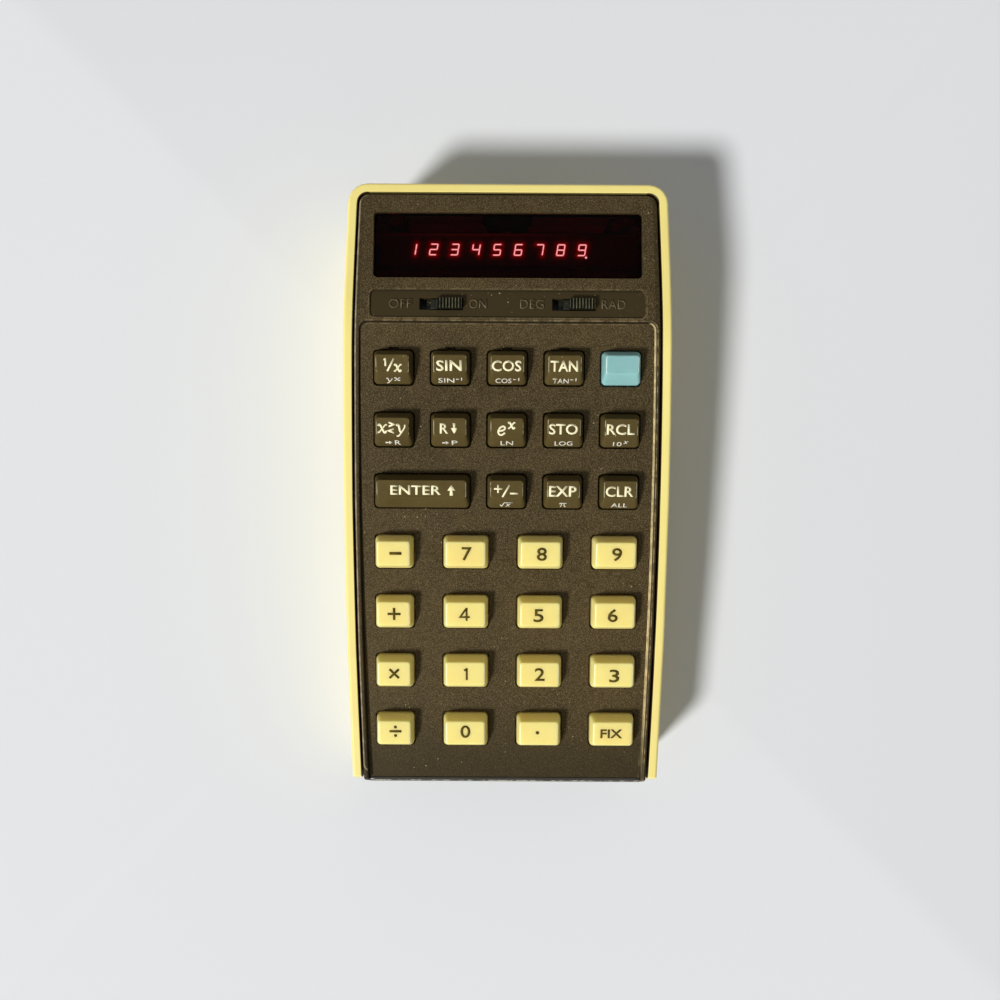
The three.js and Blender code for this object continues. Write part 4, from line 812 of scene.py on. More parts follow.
@dataclass(frozen=True)
class Moulding(Finish):
    """A moulded plastic finish: grain, tone, dust and worn edges, with painted sheen, glints, shade and
    highlights. Colours are screen colours.
    """

    colour: Colour
    tone: Colour
    roughness: float = 0.45
    specular: float = 0.5
    grain_size: float = 0.3
    grain_depth: float = 0.01
    fineness: float = 0.35
    # How far the grain's pebbles are lightened towards the dust colour, a painted sheen.
    grain_tint: float = 0.0
    mottle_size: float = 16.0
    dust: float = 0.0
    # The colour of dust specks and of the painted sheen on the grain.
    dust_colour: Colour = (190, 170, 130)
    # Worn edges; on the keys they also paint glints along the edges.
    wear: float = 0.0
    wear_colour: Colour = (200, 180, 140)
    specular_tint: Colour = (1.0, 1.0, 1.0)
    subsurface: float = 0.0
    subsurface_radius: Colour = (1.0, 0.95, 0.75)
    subsurface_depth: float = 2.2
    speck_layers: tuple[tuple[float, float, float], ...] = ((0.5, 0.12, 0.5), (0.85, 0.1, 0.75))
    patches: tuple[Patch, ...] = ()
    traces: tuple[Trace, ...] = ()

    def wire(self, graph: Graph) -> dict:
        """Lay tone, painted grain sheen, worn edges with painted glints, patches, traces and dust over the
        colour, in that order.

        Args:
            graph: The material's graph.

        Returns:
            What each input of the shader is fed.
        """
        place = graph.place()
        grain = {"Vector": place, "Scale": 1000 / self.grain_size, "Fineness": self.fineness}
        height = graph.group(grain_group(), **grain)
        mottle = graph.group(mottle_group(), Vector=place, Scale=1000 / self.mottle_size)
        colour = graph.blend(mottle, linear(*self.colour), linear(*self.tone))
        # Painted sheen: the grain's pebbles are lightened.
        if self.grain_tint:
            factor = graph.times(graph.band(height, 0.35, 0.85), self.grain_tint)
            colour = graph.blend(factor, colour, linear(*self.dust_colour))
        # Worn edges, which on the keys are also painted glints.
        if self.wear:
            wear = graph.group(wear_and_glint_group(), Vector=place, Amount=self.wear, Edge=graph.mark("edge"))
            colour = graph.blend(wear, colour, linear(*self.wear_colour))
        # Most patches paint shade, and the traces paint shade and highlights.
        for patch in self.patches:
            inside = patch.mask(graph, place)
            colour = graph.blend(graph.times(inside, patch.strength), colour, linear(*patch.colour))
            if patch.smooth:
                height = graph.times(height, graph.math("SUBTRACT", 1.0, inside))
        for trace in self.traces:
            colour = graph.blend(trace.mask(graph, place), colour, linear(*trace.colour))
        for size, share, strength in self.speck_layers if self.dust else ():
            speck = graph.group(
                speck_group(), Vector=place, Scale=1000 / size, Share=share * self.dust, Size=0.13
            )
            colour = graph.blend(graph.times(speck, strength), colour, linear(*self.dust_colour))
        return {
            "Base Color": colour,
            "Normal": graph.bump(height, self.grain_depth, 1.0),
            "Roughness": graph.spread(mottle, self.roughness - 0.05, self.roughness + 0.06),
            "Specular IOR Level": self.specular,
            "Specular Tint": (*self.specular_tint, 1.0),
            "Subsurface Weight": self.subsurface,
            "Subsurface Radius": self.subsurface_radius,
            "Subsurface Scale": self.subsurface_depth * MM,
        }


@dataclass(frozen=True)
class Metal(Finish):
    """A metal finish with fine drawn lines and a little tarnish."""

    colour: Colour
    tarnish: Colour
    roughness: float = 0.3

    def wire(self, graph: Graph) -> dict:
        """Blend metal and tarnish by slow changes of tone, and draw the lines by stretched noise.

        Args:
            graph: The material's graph.

        Returns:
            What each input of the shader is fed.
        """
        place = graph.place()
        mottle = graph.group(mottle_group(), Vector=place, Scale=180.0)
        drawn = graph.node("Mapping", {"Vector": place, "Scale": (300.0, 6000.0, 6000.0)}).outputs[0]
        lines = graph.noise(drawn, 1.0, 3.0)
        return {
            "Base Color": graph.blend(mottle, linear(*self.colour), linear(*self.tarnish)),
            "Roughness": graph.spread(lines, self.roughness - 0.08, self.roughness + 0.12),
            "Normal": graph.bump(lines, 0.003, 0.6),
            "Metallic": 1.0,
        }


@dataclass(frozen=True)
class Board(Finish):
    """A green circuit board with tracks that run along and across it."""

    name: str = "Circuit board"
    slot: str = "circuit_board"
    mask: Colour = (38, 92, 48)
    shade: Colour = (30, 78, 42)
    track: Colour = (70, 128, 62)

    def wire(self, graph: Graph) -> dict:
        """Draw the tracks as bands round the points of a squared cell pattern.

        Args:
            graph: The material's graph.

        Returns:
            What each input of the shader is fed.
        """
        place = graph.place()
        cells = graph.node(
            "TexVoronoi", {"Vector": place, "Scale": 420.0, "Randomness": 0.75}, distance="CHEBYCHEV"
        ).outputs["Distance"]
        mask = graph.band(graph.math("PINGPONG", cells, 0.12), 0.05, 0.065)
        mottle = graph.group(mottle_group(), Vector=place, Scale=90.0)
        green = graph.blend(mottle, linear(*self.mask), linear(*self.shade))
        return {
            "Base Color": graph.blend(mask, green, linear(*self.track)),
            "Normal": graph.bump(mask, 0.03, 0.7),
            "Roughness": 0.35,
        }


@dataclass(frozen=True)
class Filter(Finish):
    """The clear dark red plastic of the display window, which takes nearly all light but red."""

    name: str = "Red filter"
    slot: str = "red_filter"
    tint: Colour = (0.27, 0.003, 0.003)

    def wire(self, graph: Graph) -> dict:
        """Make the plastic refract, with faint hairline scratches from stretched noise.

        Args:
            graph: The material's graph.

        Returns:
            What each input of the shader is fed.
        """
        stretch = {"Vector": graph.place(), "Rotation": (0.0, 0.0, 0.5), "Scale": (260.0, 5200.0, 900.0)}
        hair = graph.band(graph.noise(graph.node("Mapping", stretch).outputs[0], 1.0), 0.7, 0.78)
        return {
            "Roughness": graph.spread(hair, 0.04, 0.2),
            "Base Color": (*self.tint, 1.0),
            "Transmission Weight": 1.0,
            "IOR": 1.1,
            "Specular IOR Level": 0.15,
        }


@dataclass(frozen=True)
class Lamp(Finish):
    """A surface that gives off light of a colour, even or as strong as its glow mark says."""

    light: Colour
    strength: float
    body: Colour = (30, 2, 3)
    even: bool = False

    def wire(self, graph: Graph) -> dict:
        """Give the surface its light, dimmed by the glow mark where it isn't even.

        Args:
            graph: The material's graph.

        Returns:
            What each input of the shader is fed.
        """
        dark, light = (0.0, 0.0, 0.0, 1.0), (*self.light, 1.0)
        return {
            "Base Color": linear(*self.body),
            "Roughness": 0.3,
            "Emission Strength": self.strength,
            "Emission Color": light if self.even else graph.blend(graph.mark("glow"), dark, light),
        }


class Finishes:
    """Every finish of the calculator, under a maker's plain names."""

    panel_outline = Outline(CasePlan.keypad, -25.95, (30.42, 60.0), 1.5, CasePlan.bow_radius)
    strip_outline = Outline(CasePlan.display, 3.7115, (28.15, 2.7), 1.0)
    border_outline = Outline(Slope(0, 0, 0), 0.0, (33.87, 62.903), 4.0, CasePlan.bow_radius)
    gap_outline = Outline(Slope(0, 0, 0), -10.0, (31.99, 71.02), 2.12, CasePlan.bow_radius)
    front_outline = Outline(Slope(0, 0, 0), -82.0, (60.0, 30.0), 4.0)
    cream_shell = Moulding(
        "Cream shell", "cream_shell", (248, 232, 142), (244, 225, 134), roughness=0.42, specular=0.4,
        grain_size=0.5, grain_depth=0.006, fineness=0.5, mottle_size=30.0,
        # Painted shade: inside the rim's inner outline, above 15 mm, the cream walls are darkened where they
        # face the gap to the front case.
        patches=(Patch(gap_outline, (15.0, 40.0), (66, 48, 22)),),
    )
    black_shell = Moulding(
        "Black shell", "black_shell", (50, 40, 22), (65, 52, 31), roughness=0.52, specular=0.2,
        # The grain's pebbles are lightened towards the dust colour, a painted sheen.
        grain_size=0.24, grain_depth=0.03, grain_tint=0.2, mottle_size=24.0, dust=1.3,
        dust_colour=(182, 166, 122), specular_tint=(1.0, 0.82, 0.52),
        patches=(
            # Painted shade: the case is darkened softly towards its front end.
            Patch(front_outline, (-20.0, 60.0), (32, 27, 15), 9.0, 0.65, False),
            Patch(strip_outline, (-10.0, -0.2), (52, 43, 25)),
        ),
        traces=(
            # Painted shade on the border beside the rim, deep on the right and faint on the left.
            Trace(border_outline, -2.9, 0.9, (32, 24, 12), 0.5, (29.3, 60.0)),
            Trace(border_outline, -2.9, 0.9, (36, 28, 16), 0.3, (-60.0, -29.3)),
            # Painted highlight along the top of the left border.
            Trace(border_outline, -2.56, 0.3, (170, 154, 126), 0.9, (-60.0, -29.0), 0.4),
            # Painted shade along the key panel's rear and left edges.
            Trace(panel_outline, 0.0, 0.42, (15, 10, 4), 0.95, (-60.0, 28.9)),
            # Two painted highlights along the key panel's right edge.
            Trace(panel_outline, 0.0, 0.3, (225, 204, 150), 0.95, (29.3, 60.0), 0.4),
            Trace(panel_outline, 0.52, 0.18, (180, 160, 112), 0.7, (29.3, 60.0), 0.8),
            # Painted highlights along the key panel's rear edge, inside and just outside it, broken by noise.
            Trace(panel_outline, -0.32, 0.26, (138, 120, 86), 0.42, (-29.0, 29.0), 0.8),
            Trace(panel_outline, 0.36, 0.3, (150, 132, 96), 0.5, (-29.0, 29.0), 0.9),
            # Painted shade round the switch strip, and a painted highlight just outside it, broken by noise.
            Trace(strip_outline, 0.0, 0.26, (24, 18, 7), 0.75, (-60.0, 27.6)),
            Trace(strip_outline, 0.34, 0.26, (140, 122, 86), 0.35, (-29.0, 29.0), 0.9),
        ),
    )
    lip = Moulding(
        "Front lip", "black_shell", (40, 37, 28), (52, 48, 37), roughness=0.28, specular=0.6,
        grain_size=0.4, grain_depth=0.012, mottle_size=5.0, dust=0.6, dust_colour=(170, 155, 115),
        # Painted highlight along the top of the lip, broken by noise.
        traces=(Trace(border_outline, -0.3, 0.16, (196, 190, 170), 0.9, (-29.0, 31.0), 0.9),),
    )
    # On the keys the worn edges are also painted glints, strongest along the left and right edges of the top.
    black_key = Moulding(
        "Black key", "black_key", (80, 68, 38), (88, 75, 43), roughness=0.38, specular=0.12,
        grain_size=0.3, grain_depth=0.004, fineness=0.8, mottle_size=9.0, dust=0.35,
        wear=0.22, wear_colour=(158, 150, 124), dust_colour=(200, 185, 140), specular_tint=(1.0, 0.8, 0.42),
    )
    cream_key = Moulding(
        "Cream key", "cream_key", (250, 231, 146), (246, 224, 136), roughness=0.34, specular=0.25,
        grain_size=0.4, grain_depth=0.003, fineness=0.8, mottle_size=14.0,
        wear=0.4, wear_colour=(255, 246, 190), subsurface=0.8,
    )
    blue_key = Moulding(
        "Blue key", "blue_key", (146, 193, 190), (140, 186, 184), roughness=0.34, specular=0.25,
        grain_size=0.4, grain_depth=0.003, fineness=0.8, mottle_size=10.0,
        wear=0.4, wear_colour=(196, 224, 216), subsurface=0.7,
    )
    knob = Moulding(
        "Switch knob", "switch_knob", (22, 23, 14), (29, 29, 19), roughness=0.42, specular=0.2,
        grain_size=0.3, grain_depth=0.008, fineness=0.6, mottle_size=5.0, dust=2.0,
        wear=0.42, wear_colour=(116, 110, 80), dust_colour=(176, 158, 104),
    )
    # Painted highlight: the raised words are lighter than the floor they are moulded in.
    raised_words = Moulding(
        "Raised words", "black_shell", (76, 64, 38), (96, 82, 50), roughness=0.4, specular=0.3,
        grain_size=0.2, grain_depth=0.004, mottle_size=2.0,
    )
    black_moulding = Moulding(
        "Black moulding", "black_moulding", (28, 28, 29), (34, 34, 34), roughness=0.5,
        grain_size=0.25, grain_depth=0.01, fineness=0.6, mottle_size=8.0,
    )
    rubber = Moulding(
        "Foot rubber", "rubber", (40, 40, 37), (48, 46, 42), roughness=0.8, specular=0.25,
        grain_size=0.3, grain_depth=0.02, fineness=0.7, mottle_size=5.0, dust=0.6,
        dust_colour=(120, 112, 96),
    )
    lens = Moulding(
        "Red lens", "red_lens", (70, 6, 8), (60, 4, 6), roughness=0.12, specular=0.5,
        grain_size=0.6, grain_depth=0.0, fineness=0.5, mottle_size=8.0,
    )
    main_legend = Moulding(
        "Main legend", "cream_key", (252, 244, 204), (247, 238, 190), roughness=0.4, specular=0.3,
        grain_size=0.2, grain_depth=0.002, mottle_size=3.0,
    )
    second_legend = Moulding(
        "Second legend", "cream_key", (238, 232, 214), (214, 206, 188), roughness=0.4, specular=0.3,
        grain_size=0.2, grain_depth=0.002, mottle_size=2.0,
    )
    dark_legend = Moulding(
        "Dark legend", "black_key", (80, 68, 12), (88, 75, 18), roughness=0.5, specular=0.1,
        grain_size=0.2, grain_depth=0.002, mottle_size=3.0,
    )
    cell_sleeve = Moulding(
        "Cell sleeve", "cell_can", (70, 84, 98), (62, 76, 90), roughness=0.3, specular=0.5,
        grain_size=0.5, grain_depth=0.002, mottle_size=20.0,
    )
    nickel = Metal("Nickel plate", "nickel", (206, 203, 194), (176, 170, 156))
    dome_metal = Metal("Dome metal", "dome_metal", (188, 182, 166), (160, 152, 134), roughness=0.35)
    board = Board()
    red_filter = Filter()
    digit_light = Lamp("Digit light", "red_lens", (4.1, 132.0, 138.0), 1.0, even=True)
    halo_light = Lamp("Digit halo", "red_lens", (1.0, 0.0, 0.01), 1.2)


# Putting pieces in the scene


@dataclass(frozen=True)
class EdgeField:
    """What is known of a mesh's edges, one value for each, in millimetres and radians."""

    middle: np.ndarray
    angle: np.ndarray

    @classmethod
    def of(cls, mesh: Mesh) -> "EdgeField":
        """Work out each edge's middle and the angle between its two faces.

        Args:
            mesh: A mesh whose edges mostly have two faces.

        Returns:
            The field. An edge without two faces has an angle of 0.
        """
        points = read(mesh.vertices, "co", 3) / MM
        middle = points[read(mesh.edges, "vertices", 2, int)].mean(1)
        normals = read(mesh.polygons, "normal", 3)
        edge_of = read(mesh.loops, "edge_index", 1, int)
        face_of = np.repeat(np.arange(len(mesh.polygons)), read(mesh.polygons, "loop_total", 1, int))
        order = np.argsort(edge_of, kind="stable")
        edge_of, face_of = edge_of[order], face_of[order]
        count = np.bincount(edge_of, minlength=len(mesh.edges))
        first = np.searchsorted(edge_of, np.arange(len(mesh.edges)))
        two = count == 2
        a = np.zeros(len(mesh.edges), np.int64)
        b = a.copy()
        a[two], b[two] = face_of[first[two]], face_of[first[two] + 1]
        cosine = np.clip((normals[a] * normals[b]).sum(1), -1, 1)
        return cls(middle, np.where(two, np.arccos(cosine), 0))


def mark_sharp(mesh: Mesh, degrees: float) -> None:
    """Shade a mesh smooth but for its sharp edges.

    Args:
        mesh: The mesh.
        degrees: The angle between two faces past which their edge is sharp.
    """
    mesh.polygons.foreach_set("use_smooth", np.ones(len(mesh.polygons), bool))
    sharp = EdgeField.of(mesh).angle > math.radians(degrees)
    attribute = mesh.attributes.get("sharp_edge") or mesh.attributes.new("sharp_edge", "BOOLEAN", "EDGE")
    attribute.data.foreach_set("value", sharp)


def add_piece(
    name: str,
    mesh: Mesh,
    body: str,
    finishes: Sequence[Finish],
    stands_for: Sequence[str] = (),
) -> bpy.types.Object:
    """Put a piece in the scene, on its body and with its finish.

    Args:
        name: The piece's name.
        mesh: Its mesh, in place.
        body: The body that it rides on.
        finishes: Its finishes, in the order of its material numbers.
        stands_for: The frame's nodes that it replaces.

    Returns:
        The object.
    """
    piece = bpy.data.objects.new(name, mesh)
    bpy.context.scene.collection.objects.link(piece)
    mesh.materials.clear()
    for finish in finishes:
        mesh.materials.append(finish.build())
    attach(piece, body)
    if stands_for:
        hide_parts(*stands_for)
    LOG.info("%s rides on %s: %d faces", name, body, len(mesh.polygons))
    return piece


def add_surface(
    name: str,
    surface: Surface,
    body: str,
    finishes: Sequence[Finish],
    stands_for: Sequence[str] = (),
    sharp: float | None = None,
) -> bpy.types.Object:
    """Write a surface into a mesh and put it in the scene.

    Args:
        name: The piece's and the mesh's name.
        surface: The surface, in place.
        body: The body that it rides on.
        finishes: Its finishes.
        stands_for: The frame's nodes that it replaces.
        sharp: The angle in degrees past which its edges stay sharp, or None to leave the shading alone.

    Returns:
        The object.
    """
    mesh = surface.mesh(name)
    if sharp is not None:
        mark_sharp(mesh, sharp)
    return add_piece(name, mesh, body, finishes, stands_for)


def dress(frame: dict, node: str, finish: Finish) -> None:
    """Give a node of the frame its finish and leave its shape alone.

    Args:
        frame: The loaded frame.
        node: The node's name.
        finish: Its finish.
    """
    shown = frame["nodes"][node]
    shown.data.materials.clear()
    shown.data.materials.append(finish.build())
    LOG.info("%s keeps its solid, in %s", node, finish.name)


def eased_copy(
    frame: dict,
    node: str,
    body: str,
    finish: Finish,
    easing: Callable[[EdgeField], np.ndarray],
    steps: int = 3,
) -> None:
    """Stand a copy of a solid with rounded edges in the solid's place.

    The copy's corners are merged and its flat faces joined, each edge gets its own radius as a bevel
    weight, and normals follow the larger faces.

    Args:
        frame: The loaded frame.
        node: The solid to copy.
        body: The body that it rides on.
        finish: Its finish.
        easing: Gives each edge's radius in millimetres, from what is known of the edges.
        steps: The faces across each rounded edge.
    """
    mesh = frame["nodes"][node].data.copy()
    mesh.name = f"{node}_eased"
    work = bmesh.new()
    work.from_mesh(mesh)
    bmesh.ops.remove_doubles(work, verts=work.verts, dist=MERGE_DISTANCE * MM)
    bmesh.ops.dissolve_limit(work, angle_limit=FLAT_ANGLE, verts=work.verts, edges=work.edges)
    work.to_mesh(mesh)
    work.free()
    radius = easing(EdgeField.of(mesh))
    largest = float(radius.max())
    attribute = mesh.attributes.new("bevel_weight_edge", "FLOAT", "EDGE")
    attribute.data.foreach_set("value", (radius / largest).astype(np.float32))
    mesh.polygons.foreach_set("use_smooth", np.ones(len(mesh.polygons), bool))
    piece = add_piece(f"{node}_eased", mesh, body, [finish], [node])
    bevel = piece.modifiers.new("Eased edges", "BEVEL")
    bevel.limit_method = "WEIGHT"
    bevel.width = largest * MM
    bevel.segments = steps
    bevel.use_clamp_overlap = False
    normals = piece.modifiers.new("Face normals", "WEIGHTED_NORMAL")
    normals.keep_sharp = True


def even_easing(radius: float) -> Callable[[EdgeField], np.ndarray]:
    """Give every edge whose faces meet at more than ROUNDED_PAST the same radius, for eased_copy()."""
    return lambda edges: np.where(edges.angle > ROUNDED_PAST, radius, 0.0)


# Lettering


class Lettering:
    """Words and signs as thin solids, drawn flat and then laid on a surface."""

    def __init__(self, low: float = -0.04, high: float = 0.02) -> None:
        """Keep the levels between which letters stand, against the surface that they lie on."""
        self.low = low
        self.high = high

    def _flat_text(self, text: str, weight: float, slant: float) -> tuple[np.ndarray, np.ndarray]:
        """Fill a word's outlines at the font's own size.

        Args:
            text: The word.
            weight: How far its outlines move outwards.
            slant: Its lean.

        Returns:
            Its points in the plane and its triangles.
        """
        curve = bpy.data.curves.new("word", "FONT")
        curve.body = text
        curve.offset = weight
        curve.shear = slant
        curve.resolution_u = 3
        holder = bpy.data.objects.new("word", curve)
        bpy.context.scene.collection.objects.link(holder)
        shown = holder.evaluated_get(bpy.context.evaluated_depsgraph_get())
        mesh = bpy.data.meshes.new_from_object(shown)
        bpy.data.objects.remove(holder)
        work = bmesh.new()
        work.from_mesh(mesh)
        bmesh.ops.remove_doubles(work, verts=work.verts, dist=1e-5)
        bmesh.ops.triangulate(work, faces=work.faces)
        work.to_mesh(mesh)
        work.free()
        points, tris = read(mesh.vertices, "co", 3), read(mesh.polygons, "vertices", 3, int)
        bpy.data.meshes.remove(mesh)
        return points[:, :2], tris

    def _thick(self, points: np.ndarray, tris: np.ndarray) -> Surface:
        """Give flat triangles a thickness: a top, a bottom turned over, and a wall on each open edge.

        Args:
            points: The points in the plane.
            tris: The triangles.

        Returns:
            The closed solid.
        """
        a, b, c = points[tris[:, 0]], points[tris[:, 1]], points[tris[:, 2]]
        turn = (b[:, 0] - a[:, 0]) * (c[:, 1] - a[:, 1]) - (b[:, 1] - a[:, 1]) * (c[:, 0] - a[:, 0])
        tris = np.where(turn[:, None] < 0, tris[:, ::-1], tris)
        count = len(points)
        sides = np.concatenate([tris[:, [0, 1]], tris[:, [1, 2]], tris[:, [2, 0]]])
        forward = sides[:, 0] * count + sides[:, 1]
        back = sides[:, 1] * count + sides[:, 0]
        rim = sides[~np.isin(forward, back)]
        walls = np.stack([rim[:, 0], rim[:, 1], rim[:, 1] + count, rim[:, 0] + count], axis=1)
        both = np.concatenate([level(points, self.low), level(points, self.high)])
        return Surface(both, walls, np.concatenate([tris[:, ::-1], tris + count]))

    def word(
        self, text: str, middle: Point, width: float, height: float, weight: float = 0.012, slant: float = 0.0
    ) -> Surface:
        """Draw a word to fill a given width and height.

        Args:
            text: The word.
            middle: Where its middle goes.
            width, height: Its size.
            weight: How bold it is.
            slant: Its lean.

        Returns:
            The solid letters.
        """
        points, tris = self._flat_text(text, weight, slant)
        lowest, highest = points.min(0), points.max(0)
        size = np.maximum(highest - lowest, 1e-6)
        fitted = (points - (lowest + highest) / 2) / size * np.array([width, height])
        return self._thick(fitted + np.array(middle), tris)

    def line(self, path: Sequence[Point], width: float) -> Surface:
        """Draw a line along a path."""
        return stroke(path, width, self.low, self.high)

    def curve(self, path: Sequence[Point], width: float) -> Surface:
        """Draw a line along the smooth curve through a path's points.

        Between points b and c, with a before and d after them, the curve is
        (2b + (c - a)t + (2a - 5b + 4c - d)t^2 + (3b - a - 3c + d)t^3) / 2 for t from 0 to 1.

        Args:
            path: The points that it goes through.
            width: The line's width.

        Returns:
            The solid line.
        """
        line = np.array(path, float)
        line = np.concatenate([line[:1] * 2 - line[1:2], line, line[-1:] * 2 - line[-2:-1]])
        t = np.linspace(0, 1, 6, endpoint=False)[None, :, None]
        a, b, c, d = (line[i : len(line) - 3 + i, None] for i in range(4))
        square, cube = 2 * a - 5 * b + 4 * c - d, 3 * b - a - 3 * c + d
        smooth = (2 * b + (c - a) * t + square * t**2 + cube * t**3) / 2
        points = np.concatenate([smooth.reshape(-1, 2), line[-2:-1]])
        return stroke([tuple(point) for point in points], width, self.low, self.high)

    def dot(self, middle: Point, radius: float) -> Surface:
        """Draw a round dot."""
        return plate(round_loop((radius, radius), radius, middle, 6, 0), self.low, self.high)

    def arrow(self, middle: Point, size: tuple[float, float], turn: float) -> Surface:
        """Draw an arrow with a solid head.

        Args:
            middle: Its middle.
            size: Its length and its head's width.
            turn: The direction that it points in, in degrees from +X.

        Returns:
            The solid arrow.
        """
        length, head = size
        neck, stem = length * 0.02, head * 0.21
        shape = np.array(
            [
                (-length / 2, -stem),
                (neck, -stem),
                (neck - length * 0.06, -head / 2),
                (length / 2, 0),
                (neck - length * 0.06, head / 2),
                (neck, stem),
                (-length / 2, stem),
            ]
        )
        angle = math.radians(turn)
        spin = np.array([[math.cos(angle), math.sin(angle)], [-math.sin(angle), math.cos(angle)]])
        return plate(shape @ spin + np.array(middle), self.low, self.high)


    def script(self, letter: str, middle: Point, width: float, height: float, line: float = 0.35) -> Surface:
        """Draw a slanted x, y or e as smooth strokes with hooked ends, from SCRIPT's shares.

        Args:
            letter: The letter.
            middle: Its middle, apart from a y's tail.
            width, height: Its size.
            line: How thick its strokes are.

        Returns:
            The solid letter.
        """
        size = np.array([width, height])
        drawn = [
            self.curve([tuple(np.array(point) * size + np.array(middle)) for point in points], line * weight)
            for weight, points in SCRIPT[letter]
        ]
        return drawn[0].joined(*drawn[1:])

    def one(self, middle: Point, height: float, line: float) -> Surface:
        """Draw the figure 1 as an upright stroke with a short flag at its top.

        Args:
            middle: The middle of its stroke.
            height: Its height.
            line: The strokes' width.

        Returns:
            The solid figure.
        """
        x, low, high = middle[0], middle[1] - height / 2, middle[1] + height / 2
        flag = [(x - 0.22 * height, high - 0.2 * height), (x, high - line * 0.6)]
        return self.line([(x, low), (x, high)], line).joined(self.line(flag, line))

    def draw(self, signs: Iterable[tuple]) -> Surface:
        """Draw several signs and join them, each given as one of these methods and its arguments."""
        drawn = [method(self, *values) for method, *values in signs]
        return drawn[0].joined(*drawn[1:])


# A script letter's strokes: for each, its weight, and its points as shares of a small x's width and height.
SCRIPT = {
    "x": (
        (1.25, [(-0.46, 0.3), (-0.36, 0.46), (-0.2, 0.38), (0.14, -0.36), (0.3, -0.48), (0.46, -0.3)]),
        (0.85, [(-0.5, -0.38), (-0.36, -0.46), (0.0, 0.0), (0.36, 0.46), (0.52, 0.4)]),
    ),
    "y": (
        (1.25, [(-0.48, 0.3), (-0.36, 0.46), (-0.22, 0.34), (-0.1, -0.26), (0.04, -0.42)]),
        (0.85, [(0.46, 0.46), (0.4, 0.1), (0.04, -0.5), (-0.26, -0.88), (-0.48, -0.86)]),
    ),
    "e": (
        (1.1, [(-0.34, -0.04), (0.1, 0.02), (0.4, 0.26), (0.22, 0.48), (-0.14, 0.36), (-0.4, -0.06),
               (-0.3, -0.42), (0.02, -0.48), (0.38, -0.24)]),
    ),
}

WORD, LINE, CURVE, DOT = Lettering.word, Lettering.line, Lettering.curve, Lettering.dot
ARROW, LETTER, ONE = Lettering.arrow, Lettering.script, Lettering.one

# What stands on the keys' tops, by its short name, about the top's middle.
TOP_SIGNS = {
    "1/x": (
        (ONE, (-1.2, 0.62), 1.6, 0.36), (LINE, [(-0.85, -1.2), (0.5, 1.35)], 0.36),
        (LETTER, "x", (1.3, -0.5), 1.5, 1.4),
    ),
    "x<>y": (
        (LETTER, "x", (-1.9, -0.05), 1.85, 1.7),
        (LINE, [(-0.62, 1.2), (0.45, 0.78), (-0.62, 0.36)], 0.34),
        (LINE, [(0.45, -0.1), (-0.62, -0.52), (0.45, -0.94)], 0.34),
        (LETTER, "y", (1.85, -0.05), 1.8, 1.7),
    ),
    "Rv": ((WORD, "R", (-1.0, 0.0), 1.75, 2.1, 0.02), (ARROW, (1.05, 0.0), (2.2, 1.4), -90)),
    "e^x": ((LETTER, "e", (-0.9, -0.35), 1.75, 1.8), (LETTER, "x", (1.1, 0.7), 1.4, 1.25)),
    "ENTER^": (
        (WORD, "ENTER", (-1.0, 0.1), 10.4, 1.95, 0.018),
        (ARROW, (6.3, 0.1), (2.25, 1.6), 90),
    ),
    "+/-": (
        (LINE, [(-2.45, 0.45), (-0.75, 0.45)], 0.36), (LINE, [(-1.6, -0.4), (-1.6, 1.3)], 0.36),
        (LINE, [(-0.7, -1.25), (0.75, 1.25)], 0.36), (LINE, [(0.85, -0.5), (2.5, -0.5)], 0.36),
    ),
    "-": ((LINE, [(-1.25, 0.0), (1.25, 0.0)], 0.58),),
    "+": ((LINE, [(-1.35, 0.0), (1.35, 0.0)], 0.5), (LINE, [(0, -1.3), (0, 1.3)], 0.5)),
    "x": (
        (LINE, [(-0.98, -0.98), (0.98, 0.98)], 0.5), (LINE, [(-0.98, 0.98), (0.98, -0.98)], 0.5),
    ),
    ":": (
        (LINE, [(-1.25, 0.0), (1.25, 0.0)], 0.5), (DOT, (0, 0.95), 0.33),
        (DOT, (0, -0.95), 0.33),
    ),
    ".": ((DOT, (0, -0.25), 0.38),),
    "FIX": ((WORD, "FIX", (0, 0), 4.6, 1.95, 0.02),),
    "1": ((ONE, (0.05, 0.0), 2.6, 0.42),),
    "4": (
        (LINE, [(-0.05, 1.25), (-1.35, -0.6), (0.65, -0.6)], 0.38),
        (LINE, [(0.0, 1.38), (0.0, -1.38)], 0.4),
    ),
    **{
        word: ((WORD, word, (0, 0), width, 2.2, 0.02),)
        for word, width in (
            ("SIN", 5.2), ("COS", 6.0), ("TAN", 5.6), ("STO", 5.9), ("RCL", 5.7), ("EXP", 5.7), ("CLR", 5.7),
        )
    },
    **{digit: ((WORD, digit, (0, 0), 2.1, 2.8, 0.014),) for digit in "02356789"},
}

